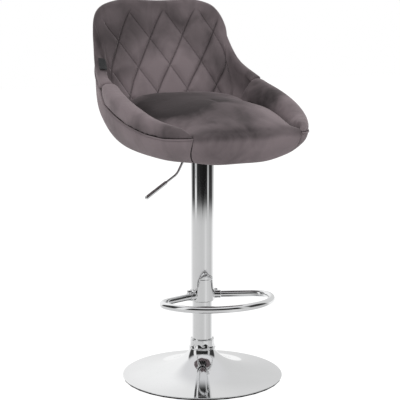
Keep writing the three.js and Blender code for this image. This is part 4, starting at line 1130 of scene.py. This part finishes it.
class STOOL_OT_back_pad(bpy.types.Operator):
    """Lays the back pad on the skin, sews its diamonds down and fills them"""

    bl_idname = "stool.back_pad"
    bl_label = "Quilted back pad"

    def execute(self, context):
        end = BACK_END - 0.5

        def place(u, v):
            station = (2 * u - 1) * end
            flat = station.round(6)
            depths = {s: d for s, d in zip(np.unique(flat), skin.depth_at(np.unique(flat), BACK_PAD_DEPTH))}
            depth = np.array([depths[s] for s in flat])
            marks = np.array([0, 0.12, 0.74, 0.80, 0.87, 0.89, 0.94, 1.0])
            part = np.clip(np.searchsorted(marks, v, side="right") - 1, 0, 6)
            t = (v - marks[part]) / (marks[part + 1] - marks[part])
            n, d = crown_point(BACK_THICKNESS, BACK_ROLL, np.pi * t)
            wide, high = crown_point(38.0, 17.0, np.pi * t)
            meet = 0.7 * smooth(34, 0, end - np.abs(station))
            n, d = n + (wide - n) * meet, d + (high - d) * meet
            hook_end = skin.piping_drop(station) - 3.3
            start = BACK_ROLL + 4 * meet
            face_down = start + (depth - BACK_FOOT - start) * t
            to, _ = skin.settle(station, np.maximum(face_down, 0))
            fall = TOP - skin.point(station, 0, face_down)[:, 2]
            lumbar = LUMBAR_SWELL * smooth(0, 88, BACK_END - np.abs(station))
            eased = smooth(0, 70, face_down - BACK_ROLL)
            swell = BACK_THICKNESS + lumbar * smooth(BACK_PAD_DEPTH / 5, BACK_PAD_DEPTH * 0.7, fall) * eased
            base = BACK_THICKNESS + lumbar
            turn = np.pi * t
            foot = depth - BACK_FOOT
            bottom = (base + PAD_BACK) / 2 + (base - PAD_BACK) / 2 * np.cos(turn), foot + BACK_FOOT * np.sin(turn)
            behind = PAD_BACK + 0 * t, foot + (HOOK_DROP - foot) * t
            over = PAD_BACK + (HOOK_CLOTH - PAD_BACK) * t, HOOK_DROP - 2.5 * np.sin(turn)
            hook = HOOK_CLOTH + 0 * t, HOOK_DROP + (hook_end - HOOK_DROP) * t
            outside = 0 * t, hook_end + (BACK_ROLL - hook_end) * t
            choices = [(n, d), (swell, face_down), bottom, behind, over, hook, outside]
            n = np.choose(part, [c[0] + 0 * t for c in choices])
            d = np.choose(part, [c[1] + 0 * t for c in choices])
            on_face = (part == 1) | ((part == 0) & (t > 0.72))
            around = np.where(on_face, to, station)
            fade = smooth(1, 16, d - BACK_ROLL) * smooth(0, 22, BACK_END - np.abs(station))
            fade *= smooth(238, 190, np.abs(around)) * np.where(part == 1, 1, 0) * smooth(20, 44, fall)
            around, fall = around - QUILT_SHIFT, fall - QUILT_DROP + QUILT_TILT * around
            soft, crisp = line_distance(around, fall, -1), line_distance(around, fall, 1)
            width = sizes().channel_width / MM / 2
            dent = np.maximum(np.exp(-(crisp / width) ** 2), 0.7 * np.exp(-(soft / width / 1.3) ** 2))
            puff = np.minimum(soft, crisp) / (sizes().quilt_pitch / MM * 0.21)
            lift = 2.6 * (1 - (1 - np.minimum(puff, 1)) ** 2) - 1.3
            n = n + np.where(part == 1, fade * (lift - dent * sizes().channel_depth / MM), 0)
            points = skin.point(station, n, d)
            close = np.abs(np.abs(station) - end)
            middle = skin.point(station, n * 0.6 + BACK_THICKNESS * 0.22, d + 4)
            pull = np.where(close < 4, 1 - np.sqrt(np.clip(1 - (1 - close / 4) ** 2, 0, 1)), 0)
            pull = (np.where((part <= 2), pull, 0) * 0.6)[:, None]
            points = points * (1 - pull) + middle * pull
            return points, {"around": around * MM, "fall": fall * MM, "sewn": fade}

        shape = bent_sheet(248, 150, place)
        material = velvet("quilted velvet", painted_shade_and_pile_spots=BACK_SHADE_AND_PILE, painted_light_and_pile_spots=BACK_LIGHT_AND_PILE, quilted=True)
        pad = object_from("quilted_back", shape, material, "seat", "back_pad")
        return {"FINISHED"}


# Patches on the velvet, partly pile brushed the other way and partly painted shade and painted light: place, radius
# and how much darker or lighter
BACK_SHADE_AND_PILE = (
    ((-0.140, 0.21, 0.860), 0.13, 0.38), ((-0.040, 0.21, 0.865), 0.12, 0.32), ((0.090, 0.21, 0.860), 0.12, 0.32),
    ((0.170, 0.16, 0.720), 0.085, 0.50), ((0.200, 0.09, 0.700), 0.06, 0.30), ((-0.150, 0.18, 0.770), 0.10, 0.42),
    ((-0.060, 0.19, 0.800), 0.11, 0.24), ((0.110, 0.19, 0.775), 0.075, 0.34), ((0.030, 0.19, 0.800), 0.08, 0.15),
)
BACK_LIGHT_AND_PILE = (
    ((-0.045, 0.17, 0.720), 0.12, 0.45), ((0.035, 0.17, 0.715), 0.11, 0.45), ((-0.110, 0.16, 0.690), 0.05, 0.20),
)
WING_SHADE_AND_PILE = (
    ((0.182, 0.000, 0.660), 0.09, 0.55), ((0.180, 0.070, 0.675), 0.09, 0.25), ((-0.165, -0.185, 0.605), 0.09, 0.55),
    ((-0.205, -0.110, 0.605), 0.09, 0.40), ((-0.222, -0.020, 0.625), 0.07, 0.3),
)
WING_LIGHT_AND_PILE = (
    ((-0.215, 0.070, 0.690), 0.08, 0.40), ((-0.220, -0.050, 0.655), 0.06, 0.40), ((-0.200, -0.130, 0.633), 0.06, 0.35),
    ((0.215, -0.06, 0.68), 0.05, 0.4),
)
CUSHION_SHADE_AND_PILE = (
    ((-0.065, 0.035, 0.667), 0.18, 1.0), ((-0.128, -0.035, 0.648), 0.12, 0.6), ((-0.050, -0.090, 0.652), 0.15, 0.30),
    ((0.070, 0.000, 0.663), 0.13, 0.40), ((-0.030, -0.185, 0.625), 0.13, 0.35),
)
CUSHION_LIGHT_AND_PILE = (
    ((0.000, -0.222, 0.575), 0.09, 0.30), ((0.090, -0.205, 0.580), 0.09, 0.35), ((0.110, -0.130, 0.632), 0.07, 0.20),
)


class STOOL_OT_wings(bpy.types.Operator):
    """Blows up the two padded wings"""

    bl_idname = "stool.wings"
    bl_label = "Wings"

    def execute(self, context):
        material = velvet("wing velvet", painted_shade_and_pile_spots=WING_SHADE_AND_PILE, painted_light_and_pile_spots=WING_LIGHT_AND_PILE)
        for name, node, side in (("padded_wing_left", "wing_left", -1), ("padded_wing_right", "wing_right", 1)):
            hook = slab(side * (BACK_END + 4), side * (FRONT_SEAM - 0.6), lambda s: skin.piping_drop(s) + 1)
            piece = remeshed(name, joined(node_copy(node), hook, wing_end(side)), sizes().voxel, 8)
            blow_up(piece, sizes().pad_swell * 0.55, loose_share(piece))
            subdivided(piece)
            padded(piece, node, material)
        return {"FINISHED"}


SEAM_GAP = 0.4
EDGE_DROP = 15
EDGE_TUCK = 12
REAR_LIFT = 7
REAR_CORNER_LIFT = 5
# The cushion's edge in plan with its height, from the middle of the rear to the front seam
EDGE = (
    (0.000, 0.645, 0.345), (0.260, 0.640, 0.340), (0.470, 0.612, 0.322), (0.590, 0.550, 0.306),
    (0.665, 0.455, 0.294), (0.708, 0.350, 0.284), (0.732, 0.200, 0.272), (0.737, 0.000, 0.260),
    (0.743, -0.250, 0.245), (0.717, -0.417, 0.228), (0.672, -0.604, 0.207), (0.645, -0.740, 0.192),
)


class STOOL_OT_cushion(bpy.types.Operator):
    """Sews the seat cushion's cover and blows it up"""

    bl_idname = "stool.cushion"
    bl_label = "Seat cushion"

    centre = np.array((0, SEAT_SHIFT - 28, 0))

    def top(self, x, y):
        """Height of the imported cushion's dome"""
        node = frame["nodes"]["seat_cushion"]
        hit, place, _, _ = node.ray_cast(Vector((x * MM, y * MM, 1)), Vector((0, 0, -1)))
        return place.z / MM if hit else SEAT_FLOOR

    def outline(self, count):
        """Points round the cushion's edge, with a station for each point on the front and none for the others"""
        side = np.array(EDGE) * (SEAT_HALF_WIDTH, SEAT_REACH, SEAT_HEIGHT) + (0, SEAT_SHIFT, SEAT_FLOOR)
        side[:, 2] -= EDGE_TUCK
        first, last = FRONT_SEAM + SEAM_GAP, skin.girth - FRONT_SEAM - SEAM_GAP
        seam = skin.point(np.array([first]), 0.2, EDGE_DROP)[0]
        knots = np.vstack([seam * (-1, 1, 1), side[:0:-1] * (-1, 1, 1), side, seam])
        sides = spline(knots, np.linspace(0, 1, 2 * count), False)
        station = np.linspace(first, last, count)
        front = skin.point(station, 0.2, EDGE_DROP)
        loop = np.vstack([sides, front])
        stations = np.concatenate([np.full(len(sides), np.nan), station])
        return np.vstack([loop, loop[:1]]), np.append(stations, np.nan)

    def sections(self, count):
        edge, stations = self.outline(count)
        result = []
        for low, station in zip(edge, stations):
            front = not np.isnan(station)
            from_seam = min(station - FRONT_SEAM, skin.girth - FRONT_SEAM - station)
            inside = float(smooth(0, 75, from_seam)) if front else 0
            share = 0.34 + 0.08 * inside if front else 0.20 + 0.14 * smooth(-60, -190, low[1])
            flat = low * (1, 1, 0)

            def dome(t):
                x, y, _ = flat + (self.centre - flat) * t
                return np.array((x, y, self.top(x, y)))

            inner, outer = dome(share), dome(share - 0.04)
            slope = (outer - inner) / np.linalg.norm(outer - inner)
            if front:
                length = skin.wall_length(np.array([station]))[0]
                depths = np.linspace(length - 1, EDGE_DROP, 30)
                below = skin.point(np.full(30, station), 0.2, depths)
                rise = skin.point(np.array([station]), 0.2, 6)[0] - skin.point(np.array([station]), 0.2, 22)[0]
                rise /= np.linalg.norm(rise)
                bottom = skin.point(np.full(4, station), 9.0, length - np.linspace(20, 1, 4))
                rise = rise * inside + np.array((0, 0, 1.0)) * (1 - inside)
                rise /= np.linalg.norm(rise)
                flatter = 0.45 * np.linalg.norm((inner - low)[:2])
                handles = 12 + 7 * inside, flatter + (42 - flatter) * inside
            else:
                t = np.linspace(0, 1, 30)[:, None]
                tucked = flat + (self.centre - flat) * 0.16 + (0, 0, low[2] - 46)
                bulge = flat + (0, 0, low[2] - 26)
                below = tucked * (1 - t)**2 + bulge * 2 * t * (1 - t) + low * t * t
                rise = np.array((0, 0, 1.0))
                bottom = np.repeat((flat + (self.centre - flat) * 0.4 + (0, 0, low[2] - 50))[None], 4, 0)
                bottom = bottom + (tucked - bottom) * np.linspace(0, 0.9, 4)[:, None]
                handles = 12, 0.45 * np.linalg.norm((inner - low)[:2])
            t = np.linspace(0, 1, 19)[1:, None]
            second, third = low + rise * handles[0], inner + slope * handles[1]
            over = low * (1 - t)**3 + second * 3 * t * (1 - t)**2 + third * 3 * t * t * (1 - t) + inner * t**3
            crown = np.array([dome(x) for x in np.linspace(share, 1, 26)[1:]])
            floor = self.centre + (0, 0, 575)
            result.append(np.vstack([floor[None], bottom, below, over, crown]))
        return np.array(result)

    def execute(self, context):
        sections = self.sections(64)
        rear = smooth(10, 120, sections[..., 1]) * smooth(600, 625, sections[..., 2])
        sections[..., 2] += rear * (REAR_LIFT + REAR_CORNER_LIFT * smooth(20, 150, np.abs(sections[..., 0])))
        columns, rows = sections.shape[0] - 1, sections.shape[1] - 1

        def place(u, v):
            return sections[np.rint(u * columns).astype(int), np.rint(v * rows).astype(int)], {}

        # The cushion's velvet carries painted shade and painted light: its patches, partly pile, and a painted shade
        # band along the front roll
        material = velvet(
            "cushion velvet", painted_shade_and_pile_spots=CUSHION_SHADE_AND_PILE, painted_light_and_pile_spots=CUSHION_LIGHT_AND_PILE, sheen=0.22,
            front_shade_band=(0.596, 0.616, 0.42),
        )
        shape = bent_sheet(columns, rows, place)
        piece = object_from("crowned_cushion", shape, material, "seat", None)
        soften(piece, 12, lambda co: co.z > 0.618)
        blow_up(piece, sizes().pad_swell, loose_share(piece))
        soften(piece, 8, lambda co: co.z > 0.622)
        soften(piece, 20, lambda co: co.z > 0.614 and abs(co.x + 0.01) > 0.07 and co.y < -0.10)
        subdivided(piece)
        padded(piece, "seat_cushion", material)
        return {"FINISHED"}


class STOOL_OT_outer_cover(bpy.types.Operator):
    """Stretches the outer cover over the shell and sews the piping on its edge"""

    bl_idname = "stool.outer_cover"
    bl_label = "Outer cover and piping"

    def execute(self, context):
        end = FRONT_SEAM - 0.3
        # A lighter patch on the cover: painted light, partly pile
        material = velvet("cover velvet", painted_light_and_pile_spots=(((-0.2, -0.08, 0.60), 0.12, 0.3),))

        def cover(u, v):
            station = (2 * u - 1) * end
            top = skin.piping_drop(station) + 1.2
            length = skin.wall_length(station)
            t = 1 - np.abs(2 * v - 1)
            seam = np.minimum(1, np.minimum(t * 30, np.minimum((1 - t) * 40, (1 - np.abs(2 * u - 1)) * 60)))
            half = 1.1 * np.sqrt(1 - (1 - seam) ** 2)
            down = top + (length - top) * t
            return skin.point(station, 1.15 + np.where(v < 0.5, -half, half), down), {}

        piece = object_from("outer_velvet", bent_sheet(300, 150, cover), material, "seat", "outer_cover", 60)
        shape = bmesh.new()
        shape.from_mesh(piece.data)
        area = sum(f.calc_area() for f in shape.faces) / 2
        shape.free()
        width, length = 2 * end * MM, max(skin.wall_length(np.linspace(-end, end, 99))) * MM

        def cord(u, v):
            station = (2 * u - 1) * end
            angle = 2 * np.pi * v
            radius = sizes().piping_radius / MM
            n = 0.2 + radius * np.cos(angle)
            d = skin.piping_drop(station) + radius * np.sin(angle)
            return skin.point(station, n, d), {}

        cord_velvet = velvet("piping velvet")
        object_from("piping_cord", bent_sheet(420, 14, cord), cord_velvet, "seat", "piping")
        return {"FINISHED"}


class STOOL_OT_tab(bpy.types.Operator):
    """Folds the small bare tab over the edge of the back"""

    bl_idname = "stool.tab"
    bl_label = "Sewn tab"

    def execute(self, context):
        middle = -0.357 * skin.girth / 2 - 3.5

        def place(u, v):
            station = middle + (u - 0.5) * 37
            face = np.minimum(v, 1 - v) * 2
            angle = np.radians(80 + 50 * face)
            edge = 1 - (2 * np.abs(u - 0.5)) ** 8 * 0.25
            lift = 4.9 + np.where(v < 0.5, 0, 1.2 * edge)
            n, d = crown_point(BACK_THICKNESS, BACK_ROLL, angle, lift)
            return skin.point(station, n, d), {}

        material = sewn_tab("tab weave", tuple(colours().tab))
        object_from("bare_tab", bent_sheet(36, 48, place), material, "seat", "label_tab", 50)
        return {"FINISHED"}


class STOOL_OT_dust_cover(bpy.types.Operator):
    """Cuts the dust cover under the seat"""

    bl_idname = "stool.dust_cover"
    bl_label = "Dust cover"

    def execute(self, context):
        piece = node_copy("dust_cover")
        eased(piece, 0.0006)
        cloth = felted_cloth("felted cloth", (0.011, 0.011, 0.012))
        object_from("dust_sheet", piece, cloth, "seat", "dust_cover", 40)
        return {"FINISHED"}


# ---------------------------------------------------------------- hidden and small parts

class STOOL_OT_hardware(bpy.types.Operator):
    """Gives every other part of the frame its finish"""

    bl_idname = "stool.hardware"
    bl_label = "Hardware finishes"

    def execute(self, context):
        finishes = {
            "chrome": polished_chrome("small chrome", 0.07),
            "steel": worn_metal("zinced steel", (0.46, 0.46, 0.47), 0.32, 180.0),
            "black_steel": worn_metal("black powder coat", (0.014, 0.014, 0.015), 0.46, 240.0, 0.0, 0.3),
            "cast_iron": worn_metal("raw cast iron", (0.035, 0.034, 0.034), 0.72, 90.0, 0.55, 0.8),
            "nylon": moulded_plastic("black nylon", (0.011, 0.011, 0.012), 0.45),
            "rubber": moulded_plastic("black rubber", (0.010, 0.010, 0.010), 0.78, 500.0, 0.0002),
            "moulding": moulded_plastic("moulded shell", (0.024, 0.021, 0.019), 0.62, 300.0, 0.0002),
            "velvet": velvet("spare velvet"),
            "dark_cloth": felted_cloth("spare cloth", (0.011, 0.011, 0.012)),
        }
        for part in frame["record"]["subparts"]:
            mesh = frame["nodes"][part["node"]].data
            mesh.materials.clear()
            mesh.materials.append(finishes[part["material_slot"]])
        return {"FINISHED"}


# ---------------------------------------------------------------- stage

# Greys that metal mirrors beyond the pale sweep, by degrees round the stool
WALLS = (
    (-180, 0.84), (-168, 0.98), (-128, 1.0), (-118, 0.05), (-84, 0.04), (-74, 0.92), (-62, 0.90), (-52, 0.03),
    (46, 0.02), (56, 0.62), (64, 0.60), (72, 0.04), (108, 0.04), (118, 0.70), (170, 0.70), (180, 0.78),
)


# Greys of the sweep near the stool, and the distances in metres between which it turns into the walls
SWEEP = (
    (-180, 1.0), (-140, 0.96), (-104, 0.70), (-60, 0.66), (0, 0.62), (16, 0.64), (34, 0.76), (50, 0.66),
    (88, 0.60), (104, 0.61), (117, 0.97), (180, 1.0),
)
SWEEP_END = (2.05, 2.70)
CEILING_FROM = (0.60, 0.80)
CEILING = (0.74, 0.74, 0.75)

SENSOR = 36
LENS = 107.82
CAMERA_PLACE = (-1.3409, -2.4580, 0.900)
CAMERA_HEADING = (0.47716, 0.87882)
CAMERA_PITCH = math.radians(9.53)

# Lamps: name, place, aim, watts and size
LAMPS = (
    ("key", (-1.9, -2.3, 2.6), (0, 0, 0.5), 46, 1.6),
    ("fill", (2.4, -1.4, 1.7), (0, 0, 0.5), 16, 2.0),
    ("back", (0.6, 2.4, 2.3), (0, 0, 0.6), 22, 1.6),
)


class Backdrop(Graph):
    """The nodes of the floor or the surround, which show each kind of ray its own shader"""

    def __init__(self, owner):
        owner.use_nodes = True
        super().__init__(owner.node_tree)
        self.tree.nodes.clear()

    def ray(self, kind):
        return self.add("ShaderNodeLightPath", output=f"Is {kind} Ray")

    def choose(self, share, first, second):
        return self.add("ShaderNodeMixShader", {}, {0: share, 1: first, 2: second})

    def show(self, kind, shader):
        self.feed(self.tree.nodes.new(kind).inputs["Surface"], shader)

    def heading(self, where):
        """Share of a turn round the stool, from away on the left through the camera's side to away on the right"""
        x, y = FACING
        parts = [
            self.add("ShaderNodeVectorMath", {"operation": "DOT_PRODUCT"}, {0: where, 1: axis}, output="Value")
            for axis in ((y, -x, 0), (-x, -y, 0))
        ]
        angle = parts[0].maths("ARCTAN2", *parts)
        return self.add("ShaderNodeMapRange", {}, {"Value": angle, "From Min": -math.pi, "From Max": math.pi})

    def ramp(self, share, stops):
        """Greys at angles in degrees round the stool"""
        ramp = self.tree.nodes.new("ShaderNodeValToRGB")
        ramp.color_ramp.interpolation = "EASE"
        elements = ramp.color_ramp.elements
        while len(elements) < len(stops):
            elements.new(1.0)
        for element, (degrees, grey) in zip(elements, stops):
            element.position = (degrees + 180) / 360
            element.color = (grey, grey, grey, 1)
        self.feed(ramp.inputs["Fac"], share)
        return Value(self, ramp.outputs["Color"])


class STOOL_OT_stage(bpy.types.Operator):
    """Sets the camera, the pale floor, the surround and the lamps"""

    bl_idname = "stool.stage"
    bl_label = "Stage"

    def execute(self, context):
        scene = context.scene
        camera = bpy.data.objects.new("camera", bpy.data.cameras.new("camera"))
        camera.data.sensor_width = SENSOR
        camera.data.lens = LENS
        camera.data.clip_end = 60
        look = Vector((*(c * math.cos(CAMERA_PITCH) for c in CAMERA_HEADING), -math.sin(CAMERA_PITCH)))
        camera.location = CAMERA_PLACE
        camera.rotation_mode = "QUATERNION"
        camera.rotation_quaternion = look.to_track_quat("-Z", "Y")
        scene.collection.objects.link(camera)
        scene.camera = camera
        scene.view_settings.view_transform = "Standard"

        shape = bmesh.new()
        bmesh.ops.create_grid(shape, x_segments=1, y_segments=1, size=9)
        mesh = bpy.data.meshes.new("floor")
        shape.to_mesh(mesh)
        shape.free()
        floor = bpy.data.objects.new("floor", mesh)
        scene.collection.objects.link(floor)
        mesh.materials.append(self.floor_finish())
        self.surround(scene)
        for lamp in LAMPS:
            self.lamp(*lamp)
        return {"FINISHED"}

    def lamp(self, name, place, aim, power, size):
        data = bpy.data.lights.new(name, "AREA")
        data.energy = power
        data.size = size
        lamp = bpy.data.objects.new(name, data)
        lamp.location = place
        lamp.rotation_euler = (Vector(aim) - Vector(place)).to_track_quat("-Z", "Y").to_euler()
        lamp.visible_camera = False
        lamp.visible_glossy = False
        bpy.context.scene.collection.objects.link(lamp)

    def floor_finish(self):
        """White to the camera but for its shadow, and a softly lit sweep in the metal's reflections"""
        material = bpy.data.materials.new("pale floor")
        graph = Backdrop(material)
        where = graph.place()
        heading = graph.heading(where)
        distance = graph.add("ShaderNodeVectorMath", {"operation": "LENGTH"}, {0: where}, output="Value")
        sweep = graph.mix(distance.step(*SWEEP_END), graph.ramp(heading, SWEEP), graph.ramp(heading, WALLS))
        bare = graph.add("ShaderNodeBsdfDiffuse", {}, {"Color": (0.75, 0.75, 0.75)})
        dim = graph.add("ShaderNodeBsdfDiffuse", {}, {"Color": (0.25, 0.25, 0.25)})
        white = graph.add("ShaderNodeEmission", {}, {"Strength": 0.94})
        shown = graph.add("ShaderNodeAddShader", {}, {0: dim, 1: white})
        mirrored = graph.add("ShaderNodeEmission", {}, {"Color": sweep})
        plain = graph.choose(graph.ray("Camera"), bare, shown)
        graph.show("ShaderNodeOutputMaterial", graph.choose(graph.ray("Glossy"), plain, mirrored))
        return material

    def surround(self, scene):
        """White to the camera, soft light, and for metal pale walls with dark upright gaps and a paler ceiling"""
        scene.world = scene.world or bpy.data.worlds.new("surround")
        graph = Backdrop(scene.world)
        where = graph.place("Generated")
        walls = graph.ramp(graph.heading(where), WALLS)
        room = graph.mix(graph.axis(where, "Z").step(*CEILING_FROM), walls, CEILING)
        white, soft, mirrored = (
            graph.add("ShaderNodeBackground", {}, {"Color": colour, "Strength": strength})
            for colour, strength in (((1, 1, 1), 1.0), ((1, 1, 1), 0.55), (room, 1.0))
        )
        seen = graph.ray("Camera").most(graph.ray("Transmission"))
        metal = graph.choose(graph.ray("Glossy"), soft, mirrored)
        graph.show("ShaderNodeOutputWorld", graph.choose(seen, metal, white))


# ---------------------------------------------------------------- panel and running

OPERATORS = (
    STOOL_OT_hardware, STOOL_OT_stage, STOOL_OT_base, STOOL_OT_column, STOOL_OT_footrest, STOOL_OT_lever,
    STOOL_OT_outer_cover, STOOL_OT_back_pad, STOOL_OT_wings, STOOL_OT_cushion, STOOL_OT_tab, STOOL_OT_dust_cover,
)


class STOOL_PT_panel(bpy.types.Panel):
    """Lists the stool's sizes, colours and pieces"""

    bl_label = "Swivel stool"
    bl_idname = "STOOL_PT_panel"
    bl_space_type = "VIEW_3D"
    bl_region_type = "UI"
    bl_category = "Stool"

    def draw(self, context):
        for group in (context.scene.stool_sizes, context.scene.stool_colours):
            box = self.layout.box()
            for name in group.__annotations__:
                box.prop(group, name)
        for operator in OPERATORS:
            self.layout.operator(operator.bl_idname)


CLASSES = (StoolSizes, StoolColours, *OPERATORS, STOOL_PT_panel)


def register():
    for cls in CLASSES:
        bpy.utils.register_class(cls)
    bpy.types.Scene.stool_sizes = PointerProperty(type=StoolSizes)
    bpy.types.Scene.stool_colours = PointerProperty(type=StoolColours)


def unregister():
    del bpy.types.Scene.stool_colours
    del bpy.types.Scene.stool_sizes
    for cls in reversed(CLASSES):
        bpy.utils.unregister_class(cls)


def main():
    register()
    for operator in OPERATORS:
        group, name = operator.bl_idname.split(".")
        getattr(getattr(bpy.ops, group), name)()
    bpy.context.view_layer.update()


if __name__ == "__main__":
    main()
